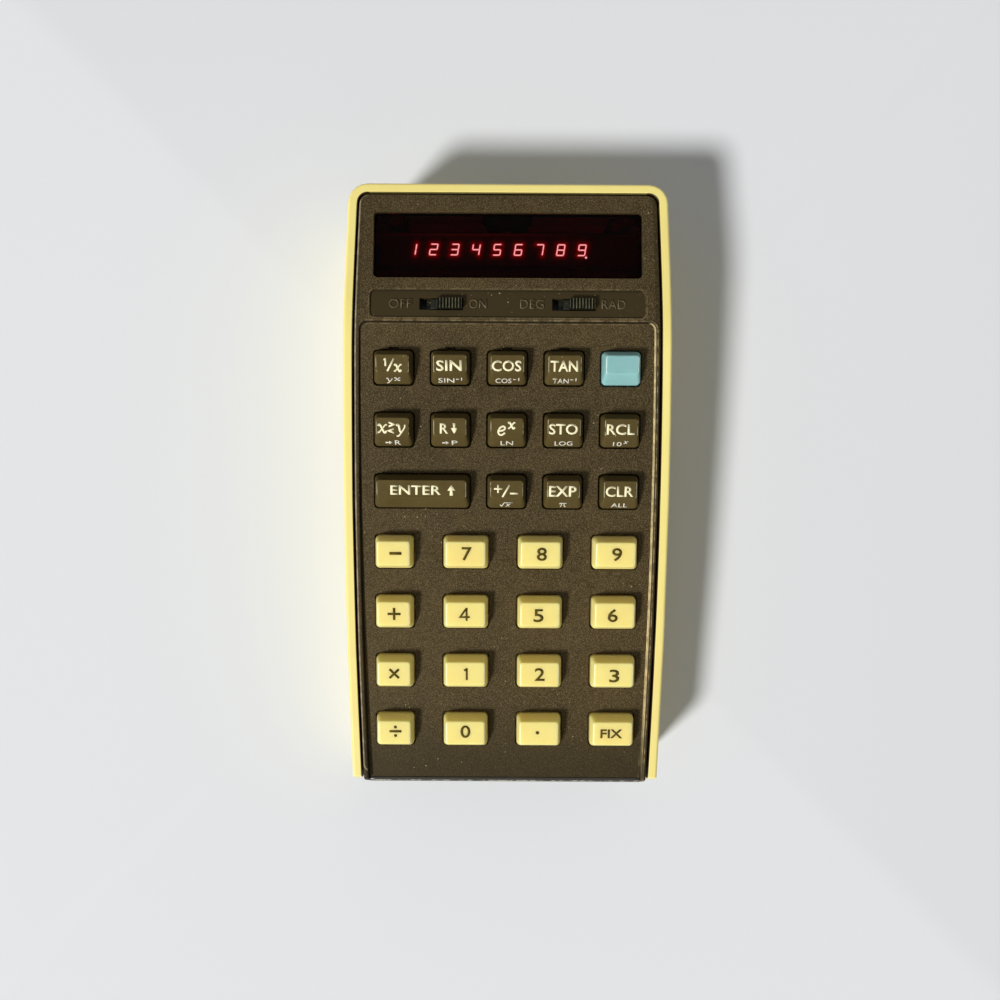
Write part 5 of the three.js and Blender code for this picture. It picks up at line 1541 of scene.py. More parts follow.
# What stands on the keys' front slopes, about the slope's middle.
FRONT_SIGNS = {
    "y^x": (
        (LETTER, "y", (-0.7, 0.1), 1.2, 0.9, 0.2), (LETTER, "x", (0.9, 0.3), 1.2, 0.75, 0.2),
    ),
    "10^x": (
        (WORD, "10", (-0.6, -0.1), 1.8, 1.2, 0.008),
        (WORD, "x", (1.1, 0.35), 1.1, 0.8, 0.015, 0.25),
    ),
    "rootx": (
        (LINE, [(-1.35, 0.0), (-1.0, -0.5), (-0.45, 0.6), (1.3, 0.6)], 0.18),
        (WORD, "x", (0.35, -0.12), 1.2, 0.9, 0.012, 0.25),
    ),
    "pi": (
        (CURVE, [(-0.75, 0.3), (-0.5, 0.5), (0.0, 0.5), (0.75, 0.52)], 0.2),
        (CURVE, [(-0.28, 0.5), (-0.3, 0.0), (-0.5, -0.55)], 0.2),
        (CURVE, [(0.3, 0.5), (0.26, -0.2), (0.38, -0.5), (0.62, -0.42)], 0.2),
    ),
    **{
        f"{word}-1": (
            (WORD, word, (-0.75, 0), 3.3, 1.25, 0.008), (LINE, [(1.2, 0.35), (1.85, 0.35)], 0.2),
            (LINE, [(2.35, -0.05), (2.35, 0.75)], 0.22),
        )
        for word in ("SIN", "COS", "TAN")
    },
    **{
        f">{letter}": (
            (ARROW, (-0.85, 0.0), (1.5, 0.9), 0), (WORD, letter, (0.95, 0), 1.25, 1.25, 0.008),
        )
        for letter in "RP"
    },
    **{
        word: ((WORD, word, (0, 0), width, 1.2, 0.008),)
        for word, width in (("LN", 2.6), ("LOG", 3.7), ("ALL", 3.4))
    },
}

# How far signs stray from their places, as printing does: to the right and to the rear.
STRAYS = {
    "5": (-0.55, -0.2), "6": (-0.65, -0.1), ".": (-0.55, 0.4), "FIX": (-0.5, 0.0), "0": (-0.2, 0.3),
    ":": (0.0, 0.3), "2": (-0.2, 0.0), "3": (-0.1, -0.25), "x": (-0.2, 0.0), "+": (-0.15, 0.0),
    "-": (0.2, 0.0),
}


# Keys


@dataclass(frozen=True)
class KeySpec:
    """One key: its node, place, width, moulding, and the words on its top and on its front."""

    node: str
    x: float
    v: float
    width: float
    front_run: float
    kind: KeyKind
    top: str = ""
    front: str = ""


@dataclass(frozen=True)
class KeyCaps:
    """All thirty keys. Each is a moulded cap with a flange and a nub under the panel."""

    plan: CasePlan = CasePlan()
    row_pitch: float = 12.7
    first_row_setback: float = 9.4
    function_pitch: float = 11.65
    function_width: float = 7.9
    number_width: float = 9.3
    number_pitch: float = 15.5
    depth: float = 6.8
    shoulder: float = 0.95
    top_rear: float = 3.4
    top_front: float = 3.0
    rear_run: float = 0.9
    word_drop: float = 0.35
    word_shift: float = -0.15
    sign_shift: float = 0.25
    front_word_height: float = 0.34
    function_front_run: float = 2.3
    number_front_run: float = 0.9
    side_run: float = 0.6
    corner: float = 0.9
    top_corner: float = 0.55
    top_round: float = 0.24
    shoulder_round: float = 0.38
    dish: float = 0.05
    flange: float = 0.7
    flange_top: float = -2.1
    flange_bottom: float = -3.0
    nub_bottom: float = -3.7
    nub_radius: float = 1.4

    def specs(self) -> list[KeySpec]:
        """List the keys from the rear row to the front one.

        Returns:
            The keys, with the rows a pitch apart and the columns as the panel has them.
        """
        rows = [
            self.plan.ridge_y / math.cos(math.radians(self.plan.keypad.degrees))
            - self.first_row_setback
            - row * self.row_pitch
            for row in range(7)
        ]
        columns = [(column - 2) * self.function_pitch for column in range(5)]
        span = 4 * self.function_pitch + self.function_width
        numbers = [span / 2 - self.number_width / 2 - (2 - i) * self.number_pitch for i in range(3)]
        black = (self.function_width, self.function_front_run, KeyKind.BLACK)
        words = [
            [("reciprocal", "1/x", "y^x"), ("sine", "SIN", "SIN-1"), ("cosine", "COS", "COS-1"),
             ("tangent", "TAN", "TAN-1")],
            [("exchange", "x<>y", ">R"), ("roll_down", "Rv", ">P"), ("exponential", "e^x", "LN"),
             ("store", "STO", "LOG"), ("recall", "RCL", "10^x")],
        ]
        keys = [
            KeySpec(f"key_{name}", columns[i], rows[row], *black, top, front)
            for row, names in enumerate(words)
            for i, (name, top, front) in enumerate(names)
        ]
        blue = (self.function_width, self.function_front_run, KeyKind.BLUE)
        keys.append(KeySpec("key_shift", columns[4], rows[0], *blue))
        wide = (self.function_pitch + self.function_width, self.function_front_run, KeyKind.BLACK)
        keys.append(KeySpec("key_enter", columns[0] + self.function_pitch / 2, rows[2], *wide, "ENTER^"))
        third = [("change_sign", "+/-", "rootx"), ("exponent", "EXP", "pi"), ("clear", "CLR", "ALL")]
        keys += [
            KeySpec(f"key_{name}", columns[i + 2], rows[2], *black, top, front)
            for i, (name, top, front) in enumerate(third)
        ]
        operator = (self.function_width, self.number_front_run, KeyKind.CREAM)
        number = (self.number_width, self.number_front_run, KeyKind.CREAM)
        lower = [
            ("minus", "-", ["7", "8", "9"]), ("plus", "+", ["4", "5", "6"]), ("times", "x", ["1", "2", "3"]),
            ("divide", ":", ["0", "point", "format"]),
        ]
        tops = {"point": ".", "format": "FIX"}
        for row, (name, sign, digits) in enumerate(lower, 3):
            keys.append(KeySpec(f"key_{name}", columns[0], rows[row], *operator, sign))
            keys += [
                KeySpec(f"key_{digit}", numbers[i], rows[row], *number, tops.get(digit, digit))
                for i, digit in enumerate(digits)
            ]
        return keys

    def top_height(self, key: KeySpec, y: np.ndarray) -> np.ndarray:
        """Give the height of a key's top plane.

        Args:
            key: The key.
            y: Places along its depth.

        Returns:
            The height at each place.
        """
        front, rear = -self.depth / 2 + key.front_run, self.depth / 2 - self.rear_run
        share = (y - front) / (rear - front)
        return self.top_front + share * (self.top_rear - self.top_front)

    def cap(self, key: KeySpec) -> Surface:
        """Work out a key's surface.

        Upright loops carry the nub, flange and skirt. From the shoulder, each point of the outline runs
        straight to its point on the top's smaller outline, and from there to the top's middle, with both
        corners of that line rounded by a curve. The top falls by the dish towards its middle, as
        dish times (1 - share^2).

        Args:
            key: The key.

        Returns:
            The surface, with an edge mark that is 1 along the rounded corners of its left and right
            sides and 0.3 along the others.
        """
        half = (key.width / 2, self.depth / 2)
        base = round_loop(half, self.corner)
        middle_y = (key.front_run - self.rear_run) / 2
        top_half = (half[0] - self.side_run, half[1] - (key.front_run + self.rear_run) / 2)
        top = round_loop(top_half, self.top_corner, (0, middle_y))
        bearing = np.arctan2(base[:, 1], base[:, 0])
        nub = self.nub_radius * np.stack([np.cos(bearing), np.sin(bearing)], axis=1)
        flange = round_loop((half[0] + self.flange, half[1] + self.flange), 0.3)
        centre = np.array([0, middle_y])
        skirt, shoulder = level(base, self.shoulder - 0.6), level(base, self.shoulder)
        edge = level(top, self.top_height(key, top[:, 1]))
        inner_flat = centre + (top - centre) * 0.75
        inner = level(inner_flat, self.top_height(key, inner_flat[:, 1]))
        shoulder_curve = eased_corner(skirt, shoulder, edge, self.shoulder_round, 5)
        top_curve = eased_corner(shoulder, edge, inner, self.top_round, 6)
        facet = shoulder_curve[-1] * 0.5 + top_curve[0] * 0.5
        shares = np.array([0.9, 0.75, 0.5, 0.25])[:, None, None]
        flats = centre + (top - centre) * shares
        heights = self.top_height(key, flats[..., 1]) - self.dish * (1 - shares[..., 0] ** 2)
        face = np.concatenate([flats, heights[..., None]], axis=2)
        lower = [
            level(nub, self.nub_bottom), level(nub, self.flange_bottom), level(flange, self.flange_bottom),
            level(flange, self.flange_top), level(base, self.flange_top), level(base, 0.0), skirt,
        ]
        loops = np.concatenate([np.stack(lower), shoulder_curve, facet[None], top_curve, face])
        shoulder_marks, top_marks = [0.2, 0.5, 0.6, 0.5, 0.2], [0.3, 0.8, 1, 1, 0.8, 0.3]
        profile = np.concatenate([np.zeros(len(lower)), shoulder_marks, [0], top_marks, np.zeros(len(face))])
        # The mark is strongest on the left and right sides, where the finish paints glints as well as wear.
        sideness = np.clip((np.abs(base[:, 0]) - (half[0] - self.corner)) / self.corner, 0, 1)
        edges = profile[:, None] * (0.3 + 0.7 * sideness[None])
        return rings(loops, {"edge": edges})

    def legends(self, key: KeySpec) -> tuple[Surface, Surface | None]:
        """Lay a key's words on its top and on its front slope.

        A point (a, b) of a top legend goes to the top plane at depth b from the top's middle, lowered by
        the dish, and a point of a front legend goes b up the front slope from its middle. The words of
        the black keys stand a little nearer to the front, and the cream keys' signs to the right.

        Args:
            key: The key.

        Returns:
            The top's legend and the front's, or None where there is none.
        """
        pen = Lettering()
        half = self.depth / 2
        middle_y = (key.front_run - self.rear_run) / 2
        extent = (key.width / 2 - self.side_run, half - (key.front_run + self.rear_run) / 2)
        cream = key.kind is KeyKind.CREAM
        drop = 0.0 if cream else self.word_drop
        shift = self.sign_shift if cream else self.word_shift
        stray = STRAYS.get(key.top, (0.0, 0.0))

        def on_top(points: np.ndarray) -> np.ndarray:
            """Lay a sign on the key's dished top.

            Args:
                points: The sign's points, about the top's middle.

            Returns:
                The points in the key's own frame.
            """
            x, y = points[:, 0] + shift + stray[0], points[:, 1] + middle_y - drop + stray[1]
            share = np.maximum(np.abs(x) / extent[0], np.abs(y - middle_y) / extent[1])
            sunk = self.dish * (1 - np.minimum(share, 1) ** 2)
            return np.stack([x, y, self.top_height(key, y) - sunk + points[:, 2]], axis=1)

        def on_front(points: np.ndarray) -> np.ndarray:
            """Lay a sign on the key's front slope.

            Args:
                points: The sign's points, about the slope's middle.

            Returns:
                The points in the key's own frame.
            """
            run, rise = key.front_run, self.top_front - self.shoulder
            length = math.hypot(run, rise)
            along = points[:, 1] + length * self.front_word_height
            y = -half + along * run / length - points[:, 2] * rise / length
            z = self.shoulder + along * rise / length + points[:, 2] * run / length
            return np.stack([points[:, 0], y, z], axis=1)

        top = pen.draw(TOP_SIGNS[key.top]).placed(on_top)
        return top, pen.draw(FRONT_SIGNS[key.front]).placed(on_front) if key.front else None

    def build(self) -> None:
        """Make every key, with its legends, and stand it in its node's place."""
        finishes = {
            KeyKind.BLACK: (Finishes.black_key, Finishes.main_legend),
            KeyKind.CREAM: (Finishes.cream_key, Finishes.dark_legend),
            KeyKind.BLUE: (Finishes.blue_key, Finishes.dark_legend),
        }
        for key in self.specs():

            def on_panel(points: np.ndarray, key: KeySpec = key) -> np.ndarray:
                """Carry points from the key's own frame to its place on the panel."""
                return self.plan.keypad.world(points + np.array([key.x, key.v, 0]))

            moulding, ink = finishes[key.kind]
            cap = self.cap(key).placed(on_panel)
            piece = add_surface(f"{key.node}_cap", cap, key.node, [moulding], [key.node], 40)
            self._check_place(key, piece.data)
            if not key.top:
                continue
            top, front = self.legends(key)
            add_surface(f"{key.node}_legend", top.placed(on_panel), key.node, [ink])
            if front is not None:
                second = front.placed(on_panel)
                add_surface(f"{key.node}_second_legend", second, key.node, [Finishes.second_legend])

    def _check_place(self, key: KeySpec, mesh: Mesh) -> None:
        """Warn where a cap's middle isn't its solid's.

        Args:
            key: The key.
            mesh: The cap's mesh.
        """
        low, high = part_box(key.node)
        points = read(mesh.vertices, "co", 3)
        middle = (points.min(0) + points.max(0)) / 2
        off = float(np.linalg.norm(middle - np.array((low + high) / 2))) / MM
        if off > 0.1:
            LOG.warning("%s lies %.2f mm from its solid", key.node, off)


# Switches


@dataclass(frozen=True)
class Switches:
    """The two slide knobs and the raised words beside their slots."""

    plan: CasePlan = CasePlan()
    strip_v: float = 3.7115
    strip_depth: float = 0.35
    slot_x: float = 13.6
    slot_length: float = 8.9
    slot_width: float = 2.5
    slide_gap: float = 0.2
    travel: float = 2.0
    step: float = 1.4
    step_height: float = -0.5
    grip: float = 5.1
    rise: float = 1.0
    rib_height: float = 0.34
    ribs: int = 8
    shoe_top: float = -2.1
    shoe: float = 0.9
    shoe_reach: float = 0.85

    def knob(self) -> Surface:
        """Work out one knob about its slot's middle.

        Along X the top's height is the step's, then the grip's, which is its rise less the rib height
        times (1 - |cos(pi share)|^0.7), with one share to each rib. At each X the section across is a
        rectangle with round upper corners.

        Returns:
            The knob with its shoe, with an edge mark on the crests of the ribs.
        """
        right = self.slot_length / 2 - self.slide_gap
        left = right - self.grip
        start = left - self.step
        half = self.slot_width / 2 - self.slide_gap
        along = np.linspace(left + 0.02, right - 0.05, 12 * self.ribs + 1)
        wave = np.abs(np.cos(math.pi * (along - left) / (self.grip / self.ribs)))
        crest = self.rise - self.rib_height * (1 - wave**0.7)
        low = self.step_height
        x = np.concatenate([[start, start + 0.06, start + 0.2], [left - 0.1, left - 0.03], along, [right]])
        z = np.concatenate([[low - 0.2, low - 0.04, low], [low, low + 0.1], crest, [crest[-1] - 0.15]])
        bottom = self.shoe_top - self.shoe / 2
        turn = np.linspace(0, math.pi / 2, 6)
        rounding = 0.22
        side_y = np.concatenate([[half], half - rounding * (1 - np.cos(turn)), [0]])
        drop = np.concatenate([[0], rounding * (1 - np.sin(turn)), [0]])
        half_y = np.concatenate([side_y, -side_y[:-1][::-1]])
        half_drop = np.concatenate([drop, drop[:-1][::-1]])
        rise = z[:, None] - half_drop[None]
        rise[:, 0] = rise[:, -1] = bottom
        section = carried(x, half_y, rise)
        worn = np.concatenate([[0.2, 0.4, 0.45], [0.4, 0.2], wave**10, [0.9]])
        edge = np.repeat(worn[:, None], len(half_y), axis=1)
        edge[:, [0, -1]] = 0
        body = rings(section, {"edge": edge})
        reach = self.shoe_reach
        run = self.travel + self.slide_gap
        shoe_half = ((run + 2 * reach + right - start) / 2, self.slot_width / 2 + reach)
        shoe_x = (start - reach + right + run + reach) / 2
        outline = round_loop(shoe_half, 0.4, (shoe_x, 0), 4, 2)
        shoe = rings(np.stack([level(outline, self.shoe_top - self.shoe), level(outline, self.shoe_top)]))
        return body.joined(shoe)

    def words(self) -> Surface:
        """Draw the raised words OFF, ON, DEG and RAD on the strip's floor.

        Returns:
            The solid letters, in the display's own frame.
        """
        pen = Lettering(-self.strip_depth - 0.1, -self.strip_depth + 0.2)
        places = [("OFF", -21.95, 4.75), ("ON", -6.1, 3.55), ("DEG", 5.0, 4.9), ("RAD", 21.7, 4.95)]
        drawn = [pen.word(text, (x, self.strip_v), width, 1.95, 0.0) for text, x, width in places]
        return drawn[0].joined(*drawn[1:])

    def build(self) -> None:
        """Make both knobs and the words."""
        sides = ((-1, "power_switch_knob", Body.POWER_SWITCH), (1, "angle_switch_knob", Body.ANGLE_SWITCH))
        for side, node, body in sides:
            shift = np.array([side * self.slot_x, self.strip_v, 0])
            surface = self.knob().placed(lambda points: self.plan.display.world(points + shift))
            add_surface(f"{node}_ribbed", surface, body.value, [Finishes.knob], [node], 38)
        words = self.words().placed(self.plan.display.world)
        add_surface("switch_words", words, Body.CASE.value, [Finishes.raised_words])


# Display


@dataclass(frozen=True)
class Display:
    """The row of lenses under the window, with its lit digits and their halo."""

    plan: CasePlan = CasePlan()
    digits: str = " 123456789  "
    point_place: int = 9
    point_shift: float = 0.85
    point_drop: float = 0.44
    point_radius: float = 0.22
    glow_falloff: float = 0.27
    places: int = 12
    pitch: float = 4.455
    lens_v: float = 16.55
    lens_width: float = 4.8
    base_w: float = -7.1
    lens_base: float = 1.2
    bulge: float = 0.9
    digit_height: float = 2.28
    digit_width: float = 1.45
    line: float = 0.23
    lean: float = 0.16
    light_w: float = -4.86
    digit_drop: float = 0.05

    def lenses(self) -> Surface:
        """Work out the lens bar.

        Its height over the base is the bulge times |sin(pi share)| along X, one share to each digit,
        times sqrt(1 - 0.35 across^2) across it.

        Returns:
            The closed bar, in the display's own frame.
        """
        half = self.places * self.pitch / 2
        x = np.linspace(-half, half, self.places * 16 + 1)
        across = np.linspace(-1, 1, 13)
        lift = self.bulge * np.abs(np.sin(math.pi * (x + half) / self.pitch)) ** 0.9
        crown = np.sqrt(1 - 0.35 * across**2)
        top = self.base_w + self.lens_base + lift[:, None] * crown[None]
        v = self.lens_v + across * self.lens_width / 2
        section_v = np.concatenate([[v[-1]], v[::-1], [v[0]]])
        base = np.full((len(x), 1), self.base_w)
        section_w = np.concatenate([base, top[:, ::-1], base], axis=1)
        return rings(carried(x, section_v, section_w))

    def segments(self) -> np.ndarray:
        """List the lit segments of every digit.

        Returns:
            An array of segment by end by 2, in X and V.
        """
        lit = {
            "1": "bc", "2": "abged", "3": "abgcd", "4": "fgbc", "5": "afgcd", "6": "afgedc", "7": "abc",
            "8": "abcdefg", "9": "abcdfg",
        }
        w, h = self.digit_width / 2, self.digit_height / 2
        ends = {
            "a": ((-w, h), (w, h)), "b": ((w, h), (w, 0)), "c": ((w, 0), (w, -h)), "d": ((-w, -h), (w, -h)),
            "e": ((-w, 0), (-w, -h)), "f": ((-w, h), (-w, 0)), "g": ((-w, 0), (w, 0)),
        }
        found = []
        for place, digit in enumerate(self.digits):
            x = (place - (self.places - 1) / 2) * self.pitch
            for segment in lit.get(digit, ""):
                (ax, av), (bx, bv) = ends[segment]
                found.append([(x + ax + self.lean * av, av), (x + bx + self.lean * bv, bv)])
        return np.array(found) + np.array([0, self.lens_v + self.digit_drop])

    def lit_lines(self) -> Surface:
        """Draw each lit segment as a thin solid, a little short of its ends, and the point as a dot.

        Returns:
            The solids, in the display's own frame.
        """
        low, high = self.light_w, self.light_w + 0.06
        ends = self.segments()
        way = ends[:, 1] - ends[:, 0]
        trim = 0.06 * way / np.linalg.norm(way, axis=1, keepdims=True)
        drawn = [stroke([a + t, b - t], self.line, low, high) for (a, b), t in zip(ends, trim)]
        point_x = (self.point_place - (self.places - 1) / 2) * self.pitch + self.point_shift
        middle = (point_x, self.lens_v + self.digit_drop - self.digit_height / 2 - self.point_drop)
        half = (self.point_radius, self.point_radius)
        dot = plate(round_loop(half, self.point_radius, middle, 5, 0), low, high)
        return drawn[0].joined(*drawn[1:], dot)

    def halo(self) -> Surface:
        """Work out the soft light round the digits.

        Its glow falls as exp(-distance / falloff) from the nearest lit segment, and a thin line of light
        lies along the lens bar's rear edge.

        Returns:
            A thin sheet under the digits, with a glow mark.
        """
        half = self.places * self.pitch / 2 + 1
        x, v = np.linspace(-half, half, 430), np.linspace(-3.6, 3.6, 58)
        grid = np.stack(np.meshgrid(x, v + self.lens_v, indexing="ij"), axis=2)
        ends = self.segments()
        a, way = ends[:, 0], ends[:, 1] - ends[:, 0]
        offset = grid[:, :, None] - a
        share = np.clip((offset * way).sum(3) / (way**2).sum(1), 0, 1)
        distance = np.linalg.norm(offset - share[..., None] * way, axis=3).min(2)
        glow = np.exp(-distance / self.glow_falloff)
        bar = 0.1 * np.exp(-((v[None] - 3.25) ** 2) / 0.02) * np.clip(1.3 - np.abs(x[:, None] + 6) / 18, 0, 1)
        index = np.arange(len(x) * len(v)).reshape(len(x), len(v))
        corners = [index[:-1, :-1], index[1:, :-1], index[1:, 1:], index[:-1, 1:]]
        quads = np.stack(corners, axis=2).reshape(-1, 4)
        sheet = level(grid.reshape(-1, 2), self.light_w - 0.02)
        under = sheet - np.array([0, 0, 0.05])
        count = len(sheet)
        rim = np.concatenate([index[:, 0], index[-1, 1:], index[-2::-1, -1], index[0, -2:0:-1]])
        onward = np.roll(rim, -1)
        walls = np.stack([rim + count, onward + count, onward, rim], axis=1)
        faces = np.concatenate([quads, quads[:, ::-1] + count, walls])
        mark = (glow + bar).reshape(-1)
        marks = {"glow": np.concatenate([mark, mark * 0])}
        return Surface(np.concatenate([sheet, under]), faces, np.zeros((0, 3), int), marks)

    def build(self, frame: dict) -> None:
        """Make the window, the lens bar, the digits and their halo.

        Args:
            frame: The loaded frame.
        """
        body = Body.CASE.value
        eased_copy(frame, "display_window", body, Finishes.red_filter, even_easing(0.1))
        world = self.plan.display.world
        lenses = self.lenses().placed(world)
        add_surface("led_lens_row", lenses, body, [Finishes.lens], ["led_lens_bar"], 35)
        add_surface("lit_digits", self.lit_lines().placed(world), body, [Finishes.digit_light])
        add_surface("digit_halo", self.halo().placed(world), body, [Finishes.halo_light])


# Shells, battery pack and small parts


@dataclass(frozen=True)
class Shells:
    """The cream back case and the black front case."""

    plan: CasePlan = CasePlan()
    outer_round: float = 0.6
    inner_round: float = 0.2
    end_round: float = 0.16
    common_round: float = 0.14
    border_round: float = 0.3
    panel_round: float = 0.34
    panel_inset: float = 3.45
    lip_half: float = 28.9
    lip_width: float = 0.95
    lip_rise: float = 0.34

    def back_radii(self, edges: EdgeField) -> np.ndarray:
        """Choose the radius of each edge of the back case.

        Args:
            edges: What is known of its edges.

        Returns:
            The radii: large on the rim's outer edge, small on its inner edge, least elsewhere.
        """
        x, y, z = edges.middle.T
        high = np.abs(z - self.plan.crown(y)) < 0.6
        inside = self.plan.depth_inside(x, y)
        front = y < self.plan.front_top_y + 0.9
        choices = [
            edges.angle < ROUNDED_PAST,
            front & (z < 8),
            front & (inside < self.plan.rim + 0.1),
            high & (np.abs(inside) < 0.2),
            high & (np.abs(inside - self.plan.rim) < 0.2),
        ]
        radii = [0.0, 0.0, self.end_round, self.outer_round, self.inner_round]
        return np.select(choices, radii, self.common_round)

    def front_radii(self, edges: EdgeField) -> np.ndarray:
        """Choose the radius of each edge of the front case.

        Args:
            edges: What is known of its edges.

        Returns:
            The radii: larger along the border beside the rim, most where the panel's step is high.
        """
        x, y, z = edges.middle.T
        high = np.abs(z - self.plan.crown(y) + 0.15) < 0.25
        inside = self.plan.depth_inside(x, y)
        front = y < self.plan.front_top_y + 1.5
        panel = high & (np.abs(inside - self.panel_inset) < 0.3) & (y < self.plan.ridge_y) & ~front
        step = self.panel_round * np.clip(1 - y / self.plan.ridge_y, 0.7, 1.4)
        choices = [edges.angle < ROUNDED_PAST, panel, high & (inside < self.plan.rim + 0.6)]
        radii = [np.zeros(len(y)), step, np.full(len(y), self.border_round)]
        return np.select(choices, radii, self.common_round)

    def lip(self) -> Surface:
        """Work out the low bead that closes the key panel along the front edge.

        Across it, from the rear to the front, its height over the panel is the rise times
        sin(pi share)^0.6, and both ends fall away over their last millimetre.

        Returns:
            The closed bead, in the object's frame.
        """
        x = np.linspace(-1, 1, 121)
        taper = np.clip((1 - np.abs(x)) * self.lip_half, 0, 1) ** 0.5
        share = np.linspace(0, 1, 11)
        front_y = -self.plan.length / 2 + 0.04
        y = front_y + self.lip_width * (1 - share)
        slope = math.tan(math.radians(self.plan.keypad.degrees))
        panel = self.plan.keypad.origin_z + (y - self.plan.keypad.origin_y) * slope
        lift = self.lip_rise * np.sin(math.pi * np.clip(share, 0.02, 0.98)) ** 0.6
        top = panel[None] + lift[None] * (0.15 + 0.85 * taper[:, None])
        section_y = np.concatenate([y, y[::-1][:1], y[:1]])
        low = np.full((len(x), 1), float(panel.min()) - 0.3)
        section_z = np.concatenate([top, low, low], axis=1)
        return rings(carried(x * self.lip_half, section_y, section_z)[:, ::-1])

    def build(self, frame: dict) -> None:
        """Make both shells and the front lip.

        Args:
            frame: The loaded frame.
        """
        body = Body.CASE.value
        eased_copy(frame, "back_case", body, Finishes.cream_shell, self.back_radii, 5)
        eased_copy(frame, "front_case", body, Finishes.black_shell, self.front_radii, 3)
        add_surface("front_lip", self.lip(), body, [Finishes.lip], sharp=50)


@dataclass(frozen=True)
class BatteryPack:
    """The cover with its two cells and the strip that joins them."""

    radius: float = 7.15
    length: float = 49.0
    nub: float = 1.3
    nub_radius: float = 2.7
    ys: tuple[float, float] = (30.153, 44.953)
    z: float = 10.25

    def cell(self, y: float, direction: int) -> Surface:
        """Turn a cell's profile about its axis: a sleeve, a rolled end, a ring and a button.

        Args:
            y: Where the cell lies.
            direction: The end that its button is at, 1 for +X.

        Returns:
            The closed cell.
        """
        end, r = self.length / 2, self.radius
        can_end = end - self.nub / 2
        start = -(self.length + self.nub) / 2
        profile = softened(
            [
                (0, start + 0.15), (5.6, start + 0.15), (5.9, start), (r - 0.35, start),
                (r - 0.1, start + 0.3), (r, start + 0.6), (r, can_end - 0.6), (r - 0.5, can_end - 0.1),
                (r - 1.3, can_end - 0.1),
                (r - 1.5, can_end - 0.35), (self.nub_radius + 0.6, can_end - 0.35),
                (self.nub_radius, can_end + 0.05), (self.nub_radius - 0.05, can_end + self.nub - 0.1),
                (0, can_end + self.nub),
            ],
            0.14,
        )

        def lie(points: np.ndarray) -> np.ndarray:
            """Lay the turned body along X at its place."""
            return np.stack(
                [points[:, 2] * direction, y + points[:, 0] * direction, self.z + points[:, 1]], axis=1
            )

        return turned(profile, 72).placed(lie)

    def build(self, frame: dict) -> None:
        """Make the pack.

        Args:
            frame: The loaded frame.
        """
        body = Body.BATTERY_PACK.value
        eased_copy(frame, "battery_pack_cover", body, Finishes.cream_shell, even_easing(0.18))
        eased_copy(frame, "battery_cell_link", body, Finishes.nickel, even_easing(0.08))
        cells = (("battery_cell_front", self.ys[0], 1), ("battery_cell_rear", self.ys[1], -1))
        finishes = [Finishes.cell_sleeve, Finishes.nickel]
        for node, y, direction in cells:
            piece = add_surface(f"{node}_sleeved", self.cell(y, direction), body, finishes, [node], 35)
            self._bare_ends(piece.data)

    def _bare_ends(self, mesh: Mesh) -> None:
        """Give a cell's two ends the metal finish and its barrel the sleeve's.

        Args:
            mesh: The cell's mesh.
        """
        along = np.abs(read(mesh.polygons, "center", 3)[:, 0]) / MM
        mesh.polygons.foreach_set("material_index", (along > self.length / 2 - 0.75).astype(np.int32))
        mesh.update()


@dataclass(frozen=True)
class SmallParts:
    """Feet, charging socket, screws, contacts and what is on the boards."""

    plan: CasePlan = CasePlan()
    feet: tuple[tuple[str, float, float, float], ...] = (
        ("foot_rear_left", -24.0, 57.303, 2.6),
        ("foot_rear_right", 24.0, 57.303, 2.6),
        ("foot_front_left", -24.0, -52.603, 4.0),
        ("foot_front_right", 24.0, -52.603, 4.0),
    )
    socket_z: float = 12.0
    pin_radius: float = 0.8

    def foot(self, node: str, x: float, y: float, radius: float) -> Surface:
        """Turn a foot's profile about its axis: a flat sole with a round edge and a shallow ring.

        Args:
            node: The solid that it stands for.
            x, y, radius: Its place and size.

        Returns:
            The closed foot.
        """
        height = float(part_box(node)[1].z) / MM
        profile = softened(
            [
                (0, 0.12), (radius * 0.45, 0.12), (radius * 0.5, 0), (radius - 0.12, 0), (radius, 0.3),
                (radius, height), (0, height),
            ],
            0.12,
        )
        return turned(profile, 56).placed(lambda points: points + np.array([x, y, 0]))

    def build(self, frame: dict) -> None:
        """Make the small parts and dress the solids that stay.

        Args:
            frame: The loaded frame.
        """
        body = Body.CASE.value
        for foot in self.feet:
            add_surface(f"{foot[0]}_rubber", self.foot(*foot), body, [Finishes.rubber], [foot[0]], 40)
        eased_copy(frame, "charging_socket", body, Finishes.black_moulding, even_easing(0.15))
        self._pin(body)
        for node in ("case_screw_left", "case_screw_right"):
            eased_copy(frame, node, body, Finishes.nickel, even_easing(0.1))
        for node in ("battery_contact_front", "battery_contact_rear"):
            eased_copy(frame, node, body, Finishes.nickel, even_easing(0.06))
        for node in ("keyboard_board", "logic_board", "display_board"):
            dress(frame, node, Finishes.board)
        for node in (
            "board_connector", "processor_chip", "memory_chip", "display_driver_chip", "power_inductor",
            "switch_frame",
        ):
            dress(frame, node, Finishes.black_moulding)
        dress(frame, "key_dome_sheet", Finishes.dome_metal)

    def _pin(self, body: str) -> None:
        """Turn the socket's pin, with a round tip, along Y.

        Args:
            body: The body that it rides on.
        """
        low, high = (float(corner.y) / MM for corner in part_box("charging_socket_pin"))
        profile = softened([(0, low), (self.pin_radius, low), (self.pin_radius, high), (0, high)], 0.4)

        def lie(points: np.ndarray) -> np.ndarray:
            """Lay the turned body along Y at its place."""
            return np.stack([points[:, 0], points[:, 2], self.socket_z - points[:, 1]], axis=1)

        pin = turned(profile, 32).placed(lie)
        add_surface("charging_pin_round", pin, body, [Finishes.nickel], ["charging_socket_pin"], 35)


# Table, light and camera


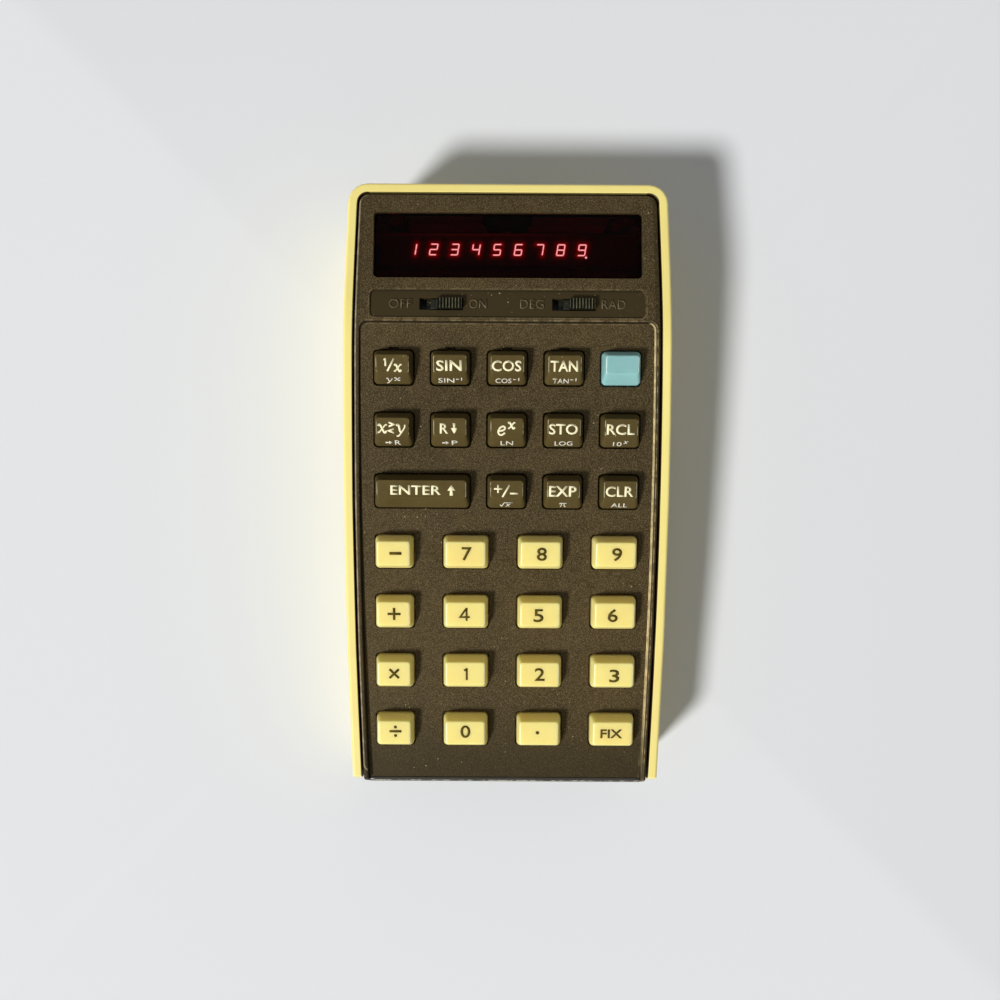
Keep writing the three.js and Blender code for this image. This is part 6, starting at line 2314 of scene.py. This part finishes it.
@dataclass(frozen=True)
class Studio:
    """A pale table top, a soft lamp from the front left, an even sky and the photograph's view."""

    camera_x: float = -1.35
    camera_y: float = -2.43
    camera_z: float = 218.0
    lens: float = 33.56
    roll: float = 0.322
    lamp_from: Colour = (-0.51, -0.5, 0.7)
    lamp_strength: float = 3.25
    sky: float = 0.24
    pale: float = 0.8

    def build(self) -> None:
        """Make the table, the lamp, the sky and the camera."""
        scene = bpy.context.scene
        scene.view_settings.view_transform = "Standard"
        self._table()
        lamp = bpy.data.lights.new("soft lamp", "SUN")
        lamp.energy = self.lamp_strength
        lamp.angle = math.radians(10)
        holder = bpy.data.objects.new("soft lamp", lamp)
        holder.rotation_euler = Vector(self.lamp_from).to_track_quat("Z", "Y").to_euler()
        scene.collection.objects.link(holder)
        self._sky()
        camera = bpy.data.cameras.new("view")
        camera.lens = self.lens
        camera.clip_start = 0.005
        camera.clip_end = 20
        holder = bpy.data.objects.new("view", camera)
        holder.location = (self.camera_x * MM, self.camera_y * MM, self.camera_z * MM)
        holder.rotation_euler = (0, 0, math.radians(self.roll))
        scene.collection.objects.link(holder)
        scene.camera = holder

    def _table(self) -> None:
        """Lay a wide pale table top under the feet."""
        half, corner, thickness = 1500.0, 60.0, 20.0
        outline = round_loop((half, half), corner, (0, 0), 6, 0)
        mesh = rings(np.stack([level(outline, -thickness), level(outline, 0.0)])).mesh("table_top")
        table = bpy.data.objects.new("table_top", mesh)
        bpy.context.scene.collection.objects.link(table)
        made = bpy.data.materials.new("Pale table")
        made.use_nodes = True
        shader = made.node_tree.nodes["Principled BSDF"]
        shader.inputs["Base Color"].default_value = linear(226, 228, 230)
        shader.inputs["Roughness"].default_value = 0.7
        shader.inputs["Specular IOR Level"].default_value = 0.2
        mesh.materials.append(made)

    def _sky(self) -> None:
        """Make an even sky that lights the scene softly and shows pale to camera, mirror and glass."""
        world = bpy.data.worlds.new("sky")
        world.use_nodes = True
        graph = Graph(world.node_tree)
        link = world.node_tree.links.new
        world.node_tree.nodes.clear()
        path = graph.node("LightPath").outputs
        seen = graph.math("MAXIMUM", path["Is Camera Ray"], path["Is Glossy Ray"])
        seen = graph.math("MAXIMUM", seen, path["Is Transmission Ray"])
        dim = graph.node("Background", {"Color": (1.0, 1.0, 1.0, 1.0), "Strength": self.sky})
        pale = graph.node("Background", {"Color": linear(236, 238, 240), "Strength": self.pale})
        mixed = graph.node("MixShader", {0: seen, 1: dim.outputs[0], 2: pale.outputs[0]})
        output = graph.node("OutputWorld")
        link(mixed.outputs[0], output.inputs["Surface"])
        bpy.context.scene.world = world


def main() -> None:
    """Load the frame and build every sub-assembly round it."""
    logging.basicConfig(level=logging.INFO, format="%(name)s: %(message)s")
    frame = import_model()
    Studio().build()
    Shells().build(frame)
    Display().build(frame)
    Switches().build()
    KeyCaps().build()
    BatteryPack().build(frame)
    SmallParts().build(frame)
    bpy.context.view_layer.update()


if __name__ == "__main__":
    main()
